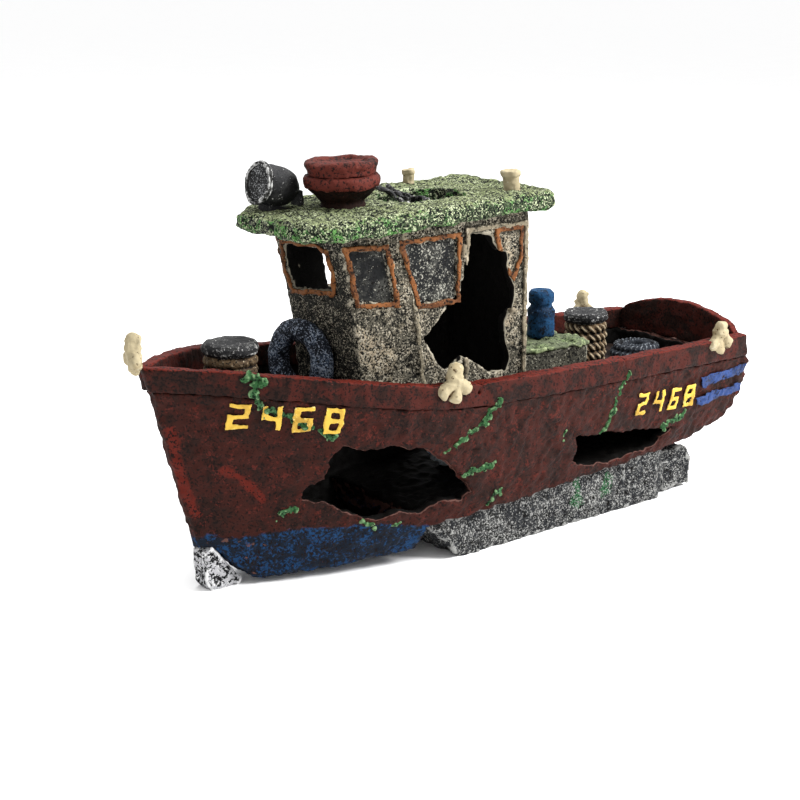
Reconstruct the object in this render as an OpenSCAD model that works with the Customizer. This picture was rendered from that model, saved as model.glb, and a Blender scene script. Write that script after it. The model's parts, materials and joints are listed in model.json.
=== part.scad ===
// Sunken fishing boat: a hollow aquarium ornament with a hidden air line and a
// lift-off air stone. Bow towards -X, stern towards +X, port side towards -Y,
// origin on the floor under the middle of the boat. Millimetres.

/* [Hull] */
// Length along the rail, from the stem head to the corners of the transom
hull_l = 223; // [185:0.5:268]
// Width over the hull sides, amidships under the rail
hull_w = 80; // [66:1:96]
// Height of the rail at the stem
bow_h = 71; // [62:1:85]
// Height of the rail amidships
mid_h = 59; // [50:1:71]
// Height of the rail at the stern
stern_h = 55.5; // [48:0.5:58]
// Thickness of the cast hull
hull_wall = 4; // [3:0.5:5]
// How far the stem leans forward from its foot to its head
stem_rake = 15.6; // [8:0.2:19]
// Half thickness of the stem
stem_half = 1.6; // [1:0.2:2.5]
// How far the stern sweeps up and aft from the tuck to the corners
counter_l = 25; // [16:1:30]
// Bulge of the transom behind its corners
stern_bulge = 3; // [1:0.5:5]
// Height of the rail band
band_h = 7.4; // [5:0.2:9]
// How far the rail band stands out of the hull side
band_proud = 0.8; // [0.6:0.2:2]
// Depth of the deck below the rail
deck_drop = 13; // [11:0.5:16]
// Thickness of the deck
deck_t = 3; // [2:0.5:4]
// Height of the board over the transom
arch_h = 7.5; // [4:0.5:10]

/* [Foot and base] */
// Height of the block under the stem
foot_h = 13.6; // [10:0.4:16]
// Length of the block under the stem
foot_l = 12.6; // [10:0.2:16]
// Height of the rock base under its front edge
base_h = 13.4; // [11:0.2:16]
// How much the top of the rock base climbs towards the stern
base_rise = 5.6; // [3:0.2:7]
// How far the hull side hangs out over the rock base
base_inset = 0.8; // [0.2:0.2:3]
// Length of the low block behind the rock base
step_l = 14.5; // [12:0.5:18]
// Width of the low block
step_w = 42; // [30:1:50]
// Height of the low block
step_h = 13; // [11.5:0.5:15]

/* [Wheelhouse] */
// Length of the wheelhouse under its roof
house_l = 71.5; // [60:0.5:86]
// Width of the wheelhouse
house_w = 41; // [34:0.5:50]
// Height from the deck amidships to the roof
house_h = 59.4; // [50:0.2:72]
// Thickness of the walls
house_wall = 3; // [2:0.5:4]
// How far the front leans forward from the deck to the roof
house_rake = 9; // [5:0.5:11]
// Thickness of the roof
roof_t = 6; // [5:0.2:7.2]
// How far the roof reaches past the sides
roof_side = 4.8; // [3:0.2:7]
// How far the roof reaches past the front
roof_front = 13.5; // [11:0.5:17]
// How far the roof reaches past the back
roof_back = 9; // [5:0.5:12]
// Slope of the roof, in degrees, up towards the stern
roof_slope = 2.2; // [0:0.1:2.8]
// Width of a window frame's bar
frame_w = 1.5; // [1.2:0.1:2.4]
// How far the window frames stand out of the walls
frame_proud = 0.9; // [0.5:0.1:1.5]

/* [Roof gear] */
// Diameter of the funnel's band
funnel_d = 23.5; // [19:0.5:28]
// Height of the funnel above the roof
funnel_h = 14.1; // [12:0.1:17]
// Diameter of the searchlight
lamp_d = 13; // [10:0.5:15]

/* [Deck gear] */
// Diameter of the bow bollard's cap
bow_bollard_d = 17; // [14:0.5:20]
// Height of the bow bollard above the deck
bow_bollard_h = 19; // [15:0.5:21]
// Diameter of the stern bollard's cap
stern_bollard_d = 15.5; // [12:0.5:19]
// Height of the stern bollard above the deck
stern_bollard_h = 20; // [16:0.5:22]
// Outer diameter of the tyre
tyre_d = 26; // [20:0.5:32]
// Diameter of the tyre's tread tube
tyre_tube = 6.8; // [5:0.2:8.4]
// Length of the hatch box
hatch_l = 30; // [24:1:34]
// Width of the hatch box
hatch_w = 32; // [26:1:38]
// Height of the hatch box above the deck
hatch_h = 15; // [11:0.5:18]
// Diameter of the gas bottle
bottle_d = 9.2; // [7:0.2:11]
// Outer diameter of the rope coil
coil_d = 19; // [16:0.5:21]
// Thickness of the rope in the coil
rope_d = 2.6; // [2:0.2:3.2]
// Width of a cleat across its lobes
cleat_w = 15; // [11:0.5:18]
// Height of a cleat
cleat_h = 13; // [10:0.5:16]

/* [Air line] */
// Outside diameter of the air tube and its inlet
air_d = 4.8; // [4:0.1:5.5]
// Bore of the air tube
air_bore = 3; // [2:0.1:3.4]
// Free length of the inlet that the airline pushes onto
inlet_l = 9; // [7:0.5:12]
// Diameter of the air stone
stone_d = 13; // [10:0.5:14]
// Length of the air stone
stone_l = 19; // [15:0.5:21]
// Length of the nipple that the air stone sits on
nipple_l = 8; // [6:0.5:10]
// Radial clearance between the nipple and the air stone
nipple_gap = 0.05; // [0.02:0.01:0.09]

/* [Hidden] */
$fn = 48;

hull_red = [0.36, 0.10, 0.07];
rail_red = [0.44, 0.13, 0.10];
paint_blue = [0.10, 0.22, 0.52];
marine_grey = [0.42, 0.42, 0.38];
rock_grey = [0.30, 0.31, 0.32];
moss_green = [0.40, 0.62, 0.33];
frame_orange = [0.72, 0.36, 0.13];
cream = [0.93, 0.89, 0.76];
rope_brown = [0.52, 0.42, 0.32];
mark_yellow = [0.90, 0.75, 0.22];
algae_green = [0.12, 0.55, 0.20];
soot = [0.10, 0.10, 0.11];
clear_plastic = [0.80, 0.84, 0.86];

// Overhang of the bow cleat ahead of the stem head
cleat_overhang = 6.8;
stern_round = 2.2;
overall_l = cleat_overhang + hull_l + stern_bulge + stern_round;
stem_x = cleat_overhang - overall_l / 2;
stern_x = stem_x + hull_l;
half_w = hull_w / 2;
// Where the rail stops falling from the bow
sheer_x = stem_x + 0.46 * hull_l;
// Length of the bow's entry at the rail, and what is added at the keel
entry_l = 0.372 * hull_l;
entry_extra = 0.07 * hull_l;
// Half width of the bottom, as a share of the half width at the rail
keel_share = 0.5;
// How much of the width is lost from amidships to the transom
stern_taper = 0.175;
// Height of the keel line, ahead and at the tuck under the stern
keel_z = 2;
arch_z = 5.4;
tuck_z = base_h + base_rise;
tuck_x = stern_x - counter_l;
keel_rise = 10;
foot_front_x = stem_x + stem_rake + 1;
foot_back_x = foot_front_x + foot_l;
base_front_x = stem_x + entry_l;
base_back_x = tuck_x - 3.8;
step_back_x = base_back_x + step_l;
step_z = 1;
seat = 0.8;

function clamp01(t) = max(0, min(1, t));
function mix(a, b, t) = a + (b - a) * t;
function smooth(t) = let (c = clamp01(t)) c * c * (3 - 2 * c);

// Height of the rail, and of the deck, at a place along the boat
function rail_z(x) =
  mid_h + (bow_h - mid_h) * smooth((sheer_x - x) / (sheer_x - stem_x))
  - (mid_h - stern_h) * clamp01((x - sheer_x) / (stern_x - sheer_x));
function hull_top(x) = rail_z(x) - band_h;
function deck_z(x) = rail_z(x) - deck_drop;
deck_mid = mid_h - deck_drop;

// Forward and after outlines of the boat seen from the side
function stem_at(z) = stem_x + stem_rake * (bow_h - z) / (bow_h - foot_h);
function stern_at(z) =
  let (q = clamp01((z - tuck_z) / (stern_h - tuck_z)))
  stern_x - counter_l * pow(1 - q, 8) + stern_round * sin(180 * q);

// Height of the hull's underside
function bottom_z(x) =
  x < foot_back_x ? mix(foot_h, keel_z, clamp01((x - foot_front_x - 2.6) / (foot_l - 2.6))) :
  x < base_front_x ? mix(keel_z, arch_z, pow((x - foot_back_x) / (base_front_x - foot_back_x), 2)) :
  base_top(x);
function base_top(x) = base_h + base_rise * (x - base_front_x) / (tuck_x - base_front_x);

// Half width of the hull at a place along the boat and a height
function half_at(x, z) =
  let (
    low = keel_z + keel_rise * clamp01((x - sheer_x) / (tuck_x - sheer_x)),
    f = clamp01((z - low) / (rail_z(x) - low)),
    width = half_w * mix(keel_share, 1, sqrt(f)),
    entry = clamp01((x - stem_at(z)) / (entry_l + entry_extra * (1 - f))),
    taper = 1 - stern_taper * pow(clamp01((x - sheer_x) / (stern_x - sheer_x)), 2)
  )
  stem_half + (width - stem_half) * (1 - pow(1 - entry, 2.3)) * taper;

// A block of points warped by a function of three numbers, as a closed solid
module warped_block(place, us, vs, ws) {
  nu = len(us);
  nv = len(vs);
  nw = len(ws);
  points = [for (u = us) for (v = vs) for (w = ws) place(u, v, w)];
  id = function(i, j, k) (i * nv + j) * nw + k;
  faces = [
    for (i = [0 : nu - 2], j = [0 : nv - 2], side = [0, 1])
      let (k = side * (nw - 1))
      each quad(id(i, j, k), id(i + 1, j, k), id(i + 1, j + 1, k), id(i, j + 1, k), side == 1),
    for (i = [0 : nu - 2], k = [0 : nw - 2], side = [0, 1])
      let (j = side * (nv - 1))
      each quad(id(i, j, k), id(i, j, k + 1), id(i + 1, j, k + 1), id(i + 1, j, k), side == 1),
    for (j = [0 : nv - 2], k = [0 : nw - 2], side = [0, 1])
      let (i = side * (nu - 1))
      each quad(id(i, j, k), id(i, j + 1, k), id(i, j + 1, k + 1), id(i, j, k + 1), side == 1)
  ];
  polyhedron(points, faces);
}
function quad(a, b, c, d, flip) = flip ? [[a, b, c], [a, c, d]] : [[a, c, b], [a, d, c]];
function steps(from, to, n) = [for (i = [0 : n]) mix(from, to, i / n)];

// Share of the way along the keel at the back of the foot and at the front of the base
function keel_share_at(x) = (x - stem_at(foot_h)) / (tuck_x - stem_at(foot_h));
foot_u = keel_share_at(foot_back_x);
base_u = keel_share_at(base_front_x);
// Places along the hull: closer together at the bow, at the base's front and at the stern
hull_us = concat([0, 0.02, 0.045, foot_u - 0.001, foot_u + 0.0015], steps(0.1, base_u - 0.015, 8),
                 [base_u + 0.001, base_u + 0.006], steps(base_u + 0.05, 0.9, 9), [0.94, 0.97, 1]);
cavity_us = concat([foot_u + 0.008, 0.105], steps(0.13, base_u - 0.015, 6),
                   [base_u + 0.001, base_u + 0.006], steps(base_u + 0.05, 0.9, 9), [0.94, 0.975]);
hull_vs = [0, 0.03, 0.08, 0.15, 0.24, 0.36, 0.5, 0.66, 0.83, 1];
across = [-1, -0.5, 0, 0.5, 1];

function stern_curve(u, w) = stern_bulge * (1 - w * w) * smooth((u - 0.85) / 0.15);
function along(u, z) = mix(stem_at(z), stern_at(z), u);

// The hull's outer body, with its sides pushed out or in
module hull_block(grow = 0) {
  warped_block(
    function(u, v, w)
      let (
        xb = mix(stem_at(foot_h), tuck_x, u),
        xt = mix(stem_x, stern_x, u),
        z = mix(bottom_z(xb), hull_top(xt), v),
        x = along(u, z)
      )
      [x + stern_curve(u, w) + (u == 1 ? grow : 0), w * (half_at(x, z) + grow), z],
    hull_us, hull_vs, across);
}

// The space inside the hull
module hull_cavity() {
  warped_block(
    function(u, v, w)
      let (
        xb = mix(stem_at(foot_h), tuck_x, u),
        xt = mix(stem_x, stern_x, u),
        zb = bottom_z(xb) + hull_wall,
        z = v > 1 ? hull_top(xt) + band_h + 1 : mix(zb, hull_top(xt), v),
        x = along(u, min(z, hull_top(xt)))
      )
      [x, w * max(stem_half, half_at(x, min(z, hull_top(xt))) - hull_wall), z],
    cavity_us,
    [0, 0.06, 0.15, 0.28, 0.45, 0.65, 0.83, 1, 1.1], [-1, 0, 1]);
}

// Broken openings in the sides, as corners seen from the port side: [place, height]
port_front_break = [
  [-70, 28], [-69, 32.5], [-65, 34.5], [-63.5, 43], [-61, 45], [-56.5, 43.5], [-49, 43],
  [-44.5, 44], [-41, 41.5], [-38, 42.5], [-33.5, 40], [-26.5, 35.5], [-21, 30.5], [-14, 23.5],
  [-17.5, 20.5], [-24, 22], [-28.5, 20], [-32.5, 18.5], [-39.5, 20.5], [-46, 19], [-50.5, 20],
  [-57, 23], [-62, 26], [-65.5, 27]
];
port_aft_break = [
  [27, 34.5], [30, 29.5], [29, 25], [31.5, 22.5], [39.5, 20.5], [49, 20], [56.5, 20.5],
  [66, 20.5], [74, 22], [75, 24.5], [80.5, 27], [69, 28], [60.5, 30], [51.5, 30.5], [44.5, 32],
  [36.5, 32]
];
starboard_break = [
  [6, 30], [14, 35], [24, 33], [33, 36], [45, 34], [55, 28], [49, 22.5], [40, 21.5], [32, 23.5],
  [22, 21], [12, 22]
];
// The corners are given for the standard hull and follow its length and height
function follow(p) = [p.x * hull_l / 223, p.y * mid_h / 59];
module side_cut(corners, side) {
  reach = half_w + 10;
  translate([0, side < 0 ? 0 : reach, 0])
    rotate([90, 0, 0])
      linear_extrude(reach)
        polygon([for (p = corners) follow(p)]);
}

module hull_shell() {
  color(hull_red)
    difference() {
      hull_block();
      hull_cavity();
      side_cut(port_front_break, -1);
      side_cut(port_aft_break, -1);
      side_cut(starboard_break, 1);
      translate([stone_x, stone_y, 0])
        cylinder(d = air_d, h = stone_seat_z);
    }
}

module forefoot() {
  toe = 2.6;
  color([0.75, 0.76, 0.78])
    translate([0, stem_half + 2.2, 0])
      rotate([90, 0, 0])
        linear_extrude(2 * stem_half + 4.4)
          polygon([
            [foot_front_x, foot_h - 1.5], [foot_front_x + toe, foot_h], [foot_back_x, keel_z],
            [foot_back_x, 1], [foot_back_x - 1.2, 0], [foot_front_x + 2, 0],
            [foot_front_x + 0.6, 1.5]
          ]);
}

// Rock base: a wedge with sloping sides, drilled for the air tube
air_z = 6.6;
stone_x = 6;
stone_y = 6;
elbow_d = 9.5;
stone_seat_z = base_top(stone_x) + hull_wall + 2;
holder_d = 10;
holder_t = 1.8;
module rock_base() {
  front_half = half_at(base_front_x + 8, base_h) - base_inset;
  back_half = half_at(base_back_x, base_top(base_back_x)) - base_inset;
  color(rock_grey)
    difference() {
      intersection() {
        translate([0, half_w, 0])
          rotate([90, 0, 0])
            linear_extrude(hull_w)
              polygon([
                [base_front_x + base_h, 0], [base_front_x + 0.6, base_h - 1],
                [base_front_x + 0.6, base_top(base_front_x + 0.6)],
                [base_back_x, base_top(base_back_x)], [base_back_x, 1.5], [base_back_x - 1.5, 0]
              ]);
        linear_extrude(mid_h)
          polygon([
            [base_front_x, 5 - front_half], [base_front_x + 9, -front_half],
            [base_back_x - 7, -back_half], [base_back_x, 4 - back_half],
            [base_back_x, back_half - 4], [base_back_x - 7, back_half],
            [base_front_x + 9, front_half], [base_front_x, front_half - 5]
          ]);
      }
      translate([stone_x, stone_y, air_z])
        rotate([0, 90, 0])
          cylinder(d = air_d, h = hull_l);
      translate([stone_x, stone_y, air_z - elbow_d / 2])
        cylinder(d = elbow_d, h = hull_l);
    }
}

module base_step() {
  color(rock_grey)
    difference() {
      translate([base_back_x, 0, step_z])
        rotate([90, 0, 90])
          linear_extrude(step_l)
            polygon([
              [-step_w / 2, 0], [step_w / 2, 0], [step_w / 2 - 1, step_h - 2],
              [step_w / 2 - 4, step_h], [3 - step_w / 2, step_h], [0.5 - step_w / 2, step_h - 3]
            ]);
      translate([base_back_x - 1, stone_y, air_z])
        rotate([0, 90, 0])
          cylinder(d = air_d, h = step_l + 2);
    }
}

// Deck plate, let into the hull all round and open under the wheelhouse
house_back_x = stem_x + 0.576 * hull_l;
house_front_x = house_back_x - house_l;
module deck() {
  edge = 5;
  color(marine_grey)
    difference() {
      warped_block(
        function(u, v, w)
          let (
            x = mix(stem_x + 9, stern_x - hull_wall + seat, u),
            z = deck_z(x) - deck_t * (1 - v)
          )
          [x + stern_curve(u, w), w * (half_at(x, z) - hull_wall + seat), z],
        concat([0, 0.02], steps(0.06, 0.5, 9), steps(0.6, 0.9, 3), [0.95, 1]), [0, 1], across);
      translate([house_front_x + house_rake + 2 * edge, edge - house_w / 2, 0])
        cube([house_l - house_rake - 3 * edge + 1.5, house_w - 2 * edge, mid_h]);
    }
}

// Rail band: sits on the hull's top edge and stands out of the side
module rail(side) {
  inner = function(x) max(0, half_at(x, hull_top(x)) - hull_wall - 0.6);
  outer = function(x) half_at(x, hull_top(x)) + band_proud;
  color(rail_red)
    difference() {
      warped_block(
        function(u, v, w)
          let (
            x = mix(stem_x, stern_x, u),
            z = mix(hull_top(x), rail_z(x), v),
            rake = (stem_at(z) - stem_x - band_proud) * (1 - u),
            side_x = x + (stem_at(hull_top(stem_x)) - stem_x) * (1 - u),
            lean = v == 1 ? 0.4 : 0
          )
          [x + rake + stern_curve(u, 1),
           side * mix(inner(side_x), outer(side_x) - lean, side > 0 ? w : 1 - w), z],
        concat([0, 0.02, 0.045], steps(0.08, 0.5, 12), steps(0.56, 0.92, 6), [0.97, 1]),
        [0, 0.15, 1], [0, 1]);
      for (crack = [[-17, 2], [45, -1.5]])
        translate([crack[0] * hull_l / 223, side * half_w, rail_z(crack[0])])
          rotate([0, 10 * crack[1], 0])
            cube([0.9, 12, band_h], center = true);
    }
}
module port_rail() rail(-1);
module starboard_rail() rail(1);

// Curved board over the transom, between the ends of the rails
module transom_board() {
  board_t = 3.4;
  board_half = half_at(stern_x, stern_h) - hull_wall - 0.6;
  color(rail_red)
    warped_block(
      function(u, v, w)
        let (edge = board_half / half_at(stern_x, stern_h))
        [stern_x - board_t * (1 - u) + stern_bulge * (1 - pow(w * edge, 2)), w * board_half,
         mix(hull_top(stern_x), stern_h + arch_h * pow(1 - w * w, 0.7) - 0.6, v)],
      [0, 1], [0, 0.5, 1], steps(-1, 1, 14));
}

// Wheelhouse: the front leans forward and narrows, the sides are upright
roof_z = deck_mid + house_h;
house_mid_x = house_back_x - house_l / 2;
function roof_under(x) = roof_z + (x - house_mid_x) * tan(roof_slope);
waist = 0.48;
waist_rake = 0.36;
corner_back = 21;
front_narrow = 3.5;
// How far the front has come forward at a share of the wheelhouse's height
function front_lean(f) =
  house_rake * (f <= waist ? waist_rake * f / waist
                : mix(waist_rake, 1, (f - waist) / (1 - waist)));
module house_block(grow = 0, over = 0) {
  warped_block(
    function(u, v, w)
      let (
        front = house_front_x + house_rake - front_lean(v),
        x = u == 0 ? front - grow : u == 1 ? front + corner_back : house_back_x + grow,
        half = (u == 0 ? house_w / 2 - front_narrow : house_w / 2) + grow,
        z = mix(deck_z(x) - seat, roof_under(x), v)
      )
      [x, w * half, z],
    [0, 1, 2],
    over == 0 ? [0, waist, 1] : [-over / house_h, 0, waist, 1, 1 + over / house_h],
    [-1, 1]);
}

// Window outlines on the sides, as corners seen from port: [place, height]
window_drop = 5;
window_z = roof_z - window_drop;
corner_window = [[-51, -0.6], [-38.8, -0.8], [-35.2, -17], [-47, -16.4]];
side_window = [[-32.6, 0], [-12, 0.4], [-12, -18.5], [-26.5, -18.5]];
starboard_window = [[-37.5, 0], [-18, 0], [-19, -17.5], [-33.5, -18]];
// Broken window in the front, seen from aft: [towards starboard, height]
front_window = [
  [13.2, -1.6], [-4.4, -0.8], [-9.1, -2.2], [-10.4, -7.3], [-9.4, -13.4], [12.6, -16], [13.8, -10]
];
door_window = [[4.5, 0.5], [13.6, 0.5], [13.6, -8], [11, -13.5], [8, -10]];
door_outline = [[-7.2, 1.5], [15.6, 1.5], [15.6, -55], [-7.2, -55]];
// The corners are given from a line ahead of the back wall, and follow the wall and the roof
mark_x = house_back_x - 17.8;
function on_house(p) = [mark_x + p.x, window_z + p.y];
module pane_shape(corners) {
  polygon([for (p = corners) on_house(p)]);
}
module frame_ring(corners, bar) {
  difference() {
    offset(delta = bar)
      pane_shape(corners);
    pane_shape(corners);
  }
}
module through_side(side) {
  reach = house_w;
  inside = house_w / 2 - front_narrow - 1;
  translate([0, side < 0 ? -inside : reach, 0])
    rotate([90, 0, 0])
      linear_extrude(reach - inside)
        children();
}
module through_front() {
  translate([house_front_x - 5, 0, 0])
    rotate([90, 0, 90])
      linear_extrude(20)
        children();
}
module wall_skin(from, to) {
  difference() {
    house_block(to);
    house_block(from, 1);
  }
}

// Where the door has broken away, as corners: [place, height from the roof]
door_break = [
  [-5.5, -4], [1.5, -5], [4.5, -10], [8.5, -11.5], [9, -18], [12, -23], [11.5, -28.5],
  [8, -32.5], [8.5, -40], [10.5, -46], [9, -49.5], [3, -49.5], [-2.5, -45.5], [-8, -42.5],
  [-14.5, -46], [-19, -43.5], [-25, -34.5], [-19.5, -30], [-15.5, -25.5], [-10, -21.5],
  [-8.5, -14]
];
module door_gap() {
  through_side(-1)
    polygon([for (p = door_break) [mark_x + p.x, roof_z + p.y]]);
}

module wheelhouse() {
  recess = 1.2;
  color(marine_grey)
    difference() {
      house_block();
      house_block(-house_wall, 2);
      through_front()
        polygon([for (p = front_window) [p.x, window_z + p.y]]);
      through_side(1)
        pane_shape(starboard_window);
      intersection() {
        union() {
          through_side(-1) {
            pane_shape(corner_window);
            pane_shape(side_window);
          }
          through_side(1)
            pane_shape(corner_window);
        }
        wall_skin(-recess, 0.5);
      }
      door_gap();
    }
}

module front_window_frame() {
  color(frame_orange)
    intersection() {
      through_front()
        difference() {
          offset(delta = frame_w)
            polygon([for (p = front_window) [p.x, window_z + p.y]]);
          polygon([for (p = front_window) [p.x, window_z + p.y]]);
        }
      wall_skin(0, frame_proud);
    }
}
module wall_frame(corners, side) {
  color(frame_orange)
    intersection() {
      through_side(side)
        frame_ring(corners, frame_w);
      wall_skin(0, frame_proud);
    }
}
module wall_pane(corners, side) {
  color(soot)
    intersection() {
      through_side(side)
        pane_shape(corners);
      wall_skin(-1.2, -0.6);
    }
}
module corner_window_frame() wall_frame(corner_window, -1);
module corner_window_pane() wall_pane(corner_window, -1);
module side_window_frame() wall_frame(side_window, -1);
module side_window_pane() wall_pane(side_window, -1);
module starboard_window_pane() wall_pane(corner_window, 1);
module starboard_window_frames() {
  wall_frame(corner_window, 1);
  wall_frame(starboard_window, 1);
}
module door_frame() {
  color(marine_grey)
    intersection() {
      through_side(-1)
        difference() {
          offset(delta = 1.4)
            pane_shape(door_outline);
          pane_shape(door_outline);
          polygon([for (p = door_break) [mark_x + p.x, roof_z + p.y]]);
          translate([-hull_l, -10])
            square([2 * hull_l, deck_mid + 10.5]);
        }
      wall_skin(0, frame_proud);
    }
}
module door_window_frame() {
  color(frame_orange)
    intersection() {
      through_side(-1)
        difference() {
          frame_ring(door_window, 1.4);
          polygon([for (p = door_break) [mark_x + p.x, roof_z + p.y]]);
        }
      wall_skin(0, frame_proud);
    }
}
module door_hinge() {
  pin_d = 1.6;
  pin_l = 4;
  stand_off = 0.9;
  color(soot)
    translate([mark_x - 9.55, -house_w / 2 - stand_off, window_z - 6]) {
      cylinder(d = pin_d, h = pin_l);
      translate([-pin_d / 2, 0, 0])
        cube([pin_d, stand_off, pin_l]);
    }
}
module door_knob() {
  color(frame_orange)
    translate([house_back_x - 8, -house_w / 2, window_z - 25])
      rotate([90, 0, 0]) {
        cylinder(d = 1.4, h = 2);
        translate([0, 0, 2.4])
          sphere(d = 2.4);
      }
}
// Raised lines down the corners of the wheelhouse
module corner_posts() {
  post = 1.6;
  color(marine_grey)
    difference() {
      intersection() {
        wall_skin(0, 0.6);
        post_bands(post);
      }
      through_side(1)
        offset(delta = frame_w)
          pane_shape(starboard_window);
      through_side(-1)
        offset(delta = frame_w)
          pane_shape(side_window);
    }
}
module post_bands(post) {
  for (side = [-1, 1])
    warped_block(
      function(u, v, w)
        let (
          z = mix(deck_mid, roof_z + 2, v),
          f = (z - deck_mid) / house_h,
          x = house_front_x + house_rake - front_lean(f) + corner_back
        )
        [x + post * (u - 0.5), mix(side > 0 ? 5 : -house_w, side > 0 ? house_w : -5, w), z],
      [0, 1], [0, waist, 1], [0, 1]);
}

// Roof: a thick slab with cut corners, broken open over the middle
roof_break = [
  [-25, -3], [-21, -11], [-12, -12.5], [-6, -9.5], [1, -11], [3.5, -3], [2, 6], [-5, 11],
  [-13, 9], [-21, 10.5]
];
module roof_outline(inset) {
  front = house_front_x - roof_front + inset;
  back = house_back_x + roof_back - inset;
  half = house_w / 2 + roof_side - inset;
  polygon([
    [front + 10, -half], [back - 3, -half], [back, 3 - half], [back, half - 3],
    [back - 3, half], [front + 10, half], [front, half - 8], [front, 8 - half]
  ]);
}
module on_roof(x, y) {
  translate([house_mid_x, 0, roof_z])
    rotate([0, -roof_slope, 0])
      translate([x - house_mid_x, y, roof_t])
        children();
}
module roof() {
  color(moss_green)
    difference() {
      on_roof(0, 0)
        translate([0, 0, -roof_t])
          hull() {
            linear_extrude(roof_t)
              roof_outline(1.6);
            translate([0, 0, 1.2])
              linear_extrude(roof_t - 2.8)
                roof_outline(0);
          }
      translate([mark_x, 0, roof_z - 5])
        linear_extrude(roof_t + 10)
          polygon(roof_break);
    }
}
module roof_twigs() {
  color(soot)
    for (twig = [[-14.5, 80, 27], [-17.5, 96, 25], [-20.5, 84, 22]])
      on_roof(mark_x + twig[0], 0)
        rotate([0, 0, twig[1]])
          translate([-twig[2] / 2, 0, 0.5])
            rotate([0, 90, 0])
              cylinder(d = 1.5, h = twig[2]);
}

// Funnel
funnel_x = house_front_x + 14;
module funnel_stem() {
  color([0.30, 0.09, 0.07])
    on_roof(funnel_x, 0)
      rotate_extrude()
        polygon([
          [0, -0.6], [funnel_d * 0.31, -0.6], [funnel_d * 0.29, 0.6], [funnel_d * 0.27, 1.6],
          [funnel_d * 0.46, funnel_h * 0.42], [0, funnel_h * 0.42]
        ]);
}
module funnel_band() {
  color(hull_red)
    on_roof(funnel_x, 0)
      translate([0, 0, funnel_h * 0.42])
        rotate_extrude()
          polygon([
            [0, 0], [funnel_d * 0.48, 0], [funnel_d / 2, funnel_h * 0.09],
            [funnel_d / 2, funnel_h * 0.2], [funnel_d * 0.47, funnel_h * 0.27], [0, funnel_h * 0.27]
          ]);
}
module funnel_cap() {
  color(rail_red)
    on_roof(funnel_x, 0)
      translate([0, 0, funnel_h * 0.69])
        rotate_extrude()
          polygon([
            [0, 0], [funnel_d * 0.44, 0], [funnel_d * 0.45, funnel_h * 0.1],
            [funnel_d * 0.48, funnel_h * 0.2], [funnel_d * 0.48, funnel_h * 0.27],
            [funnel_d * 0.44, funnel_h * 0.31], [funnel_d * 0.36, funnel_h * 0.31],
            [funnel_d * 0.32, funnel_h * 0.24], [0, funnel_h * 0.22]
          ]);
}

// Searchlight on the front corner of the roof, looking forward
lamp_x = house_front_x - 2.4;
lamp_y = 11;
lamp_z = lamp_d / 2 + 0.2;
module lamp_axis() {
  on_roof(lamp_x, lamp_y)
    translate([0, 0, lamp_z])
      rotate([0, -74, 0])
        children();
}
module lamp_barrel() {
  color(soot)
    lamp_axis()
      rotate_extrude()
        polygon([
          [0, 5.5], [lamp_d * 0.44, 5.5], [lamp_d * 0.48, 2.5], [lamp_d * 0.47, -1],
          [lamp_d * 0.38, -4.5], [lamp_d * 0.22, -6.6], [0, -7]
        ]);
}
module lamp_rim() {
  color(clear_plastic)
    lamp_axis()
      translate([0, 0, 5.5])
        difference() {
          cylinder(d = lamp_d, h = 1.6);
          cylinder(d = lamp_d - 2.2, h = 1.6);
        }
}
module lamp_glass() {
  color(soot)
    lamp_axis()
      translate([0, 0, 5.5])
        cylinder(d = lamp_d - 2.2, h = 0.9);
}
module lamp_foot() {
  color(soot)
    difference() {
      on_roof(lamp_x, lamp_y)
        translate([-5, -2.6, -0.6])
          cube([13, 5.2, lamp_z - 1]);
      lamp_axis()
        translate([0, 0, -8])
          cylinder(d = lamp_d * 0.96, h = 13.5);
    }
}
module roof_stumps() {
  color(cream)
    for (stump = [[1.3, house_w / 2 - 1, 4.6, 4.8], [15.3, 5.5 - house_w / 2, 6.5, 6]])
      on_roof(mark_x + stump[0], stump[1]) {
        translate([0, 0, -0.6])
          cylinder(d = stump[2] * 0.8, h = stump[3]);
        translate([0, 0, stump[3] - 1.6])
          cylinder(d = stump[2], h = 1.6);
      }
}

// Bollards: a rope-wound drum under a cap
bow_bollard_x = stem_x + 29.5;
stern_bollard_x = stern_x - 43;
stern_bollard_y = 5;
module rope_drum(x, y, d, h) {
  turns = 5;
  pitch = h / turns;
  color(rope_brown)
    translate([x, y, deck_z(x) - seat])
      rotate_extrude()
        union() {
          square([d / 2 - 0.7, h + seat]);
          for (i = [0 : turns - 1])
            translate([d / 2 - 1.2, seat + pitch * (i + 0.5)])
              circle(d = pitch * 0.98, $fn = 24);
        }
}
module bollard_cap(x, y, d, h) {
  color(soot)
    translate([x, y, deck_z(x) + h])
      rotate_extrude()
        polygon([
          [0, 0], [d * 0.44, 0], [d * 0.5, 1.2], [d * 0.5, 2.6], [d * 0.46, 3.6],
          [d * 0.4, 3.9], [0, 4.2]
        ]);
}
module bow_bollard() rope_drum(bow_bollard_x, 0, bow_bollard_d * 0.92, bow_bollard_h - 4);
module bow_bollard_cap() bollard_cap(bow_bollard_x, 0, bow_bollard_d, bow_bollard_h - 4);
module stern_bollard() {
  rope_drum(stern_bollard_x, stern_bollard_y, stern_bollard_d * 0.88, stern_bollard_h - 4);
}
module stern_bollard_cap() {
  bollard_cap(stern_bollard_x, stern_bollard_y, stern_bollard_d, stern_bollard_h - 4);
}

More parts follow.
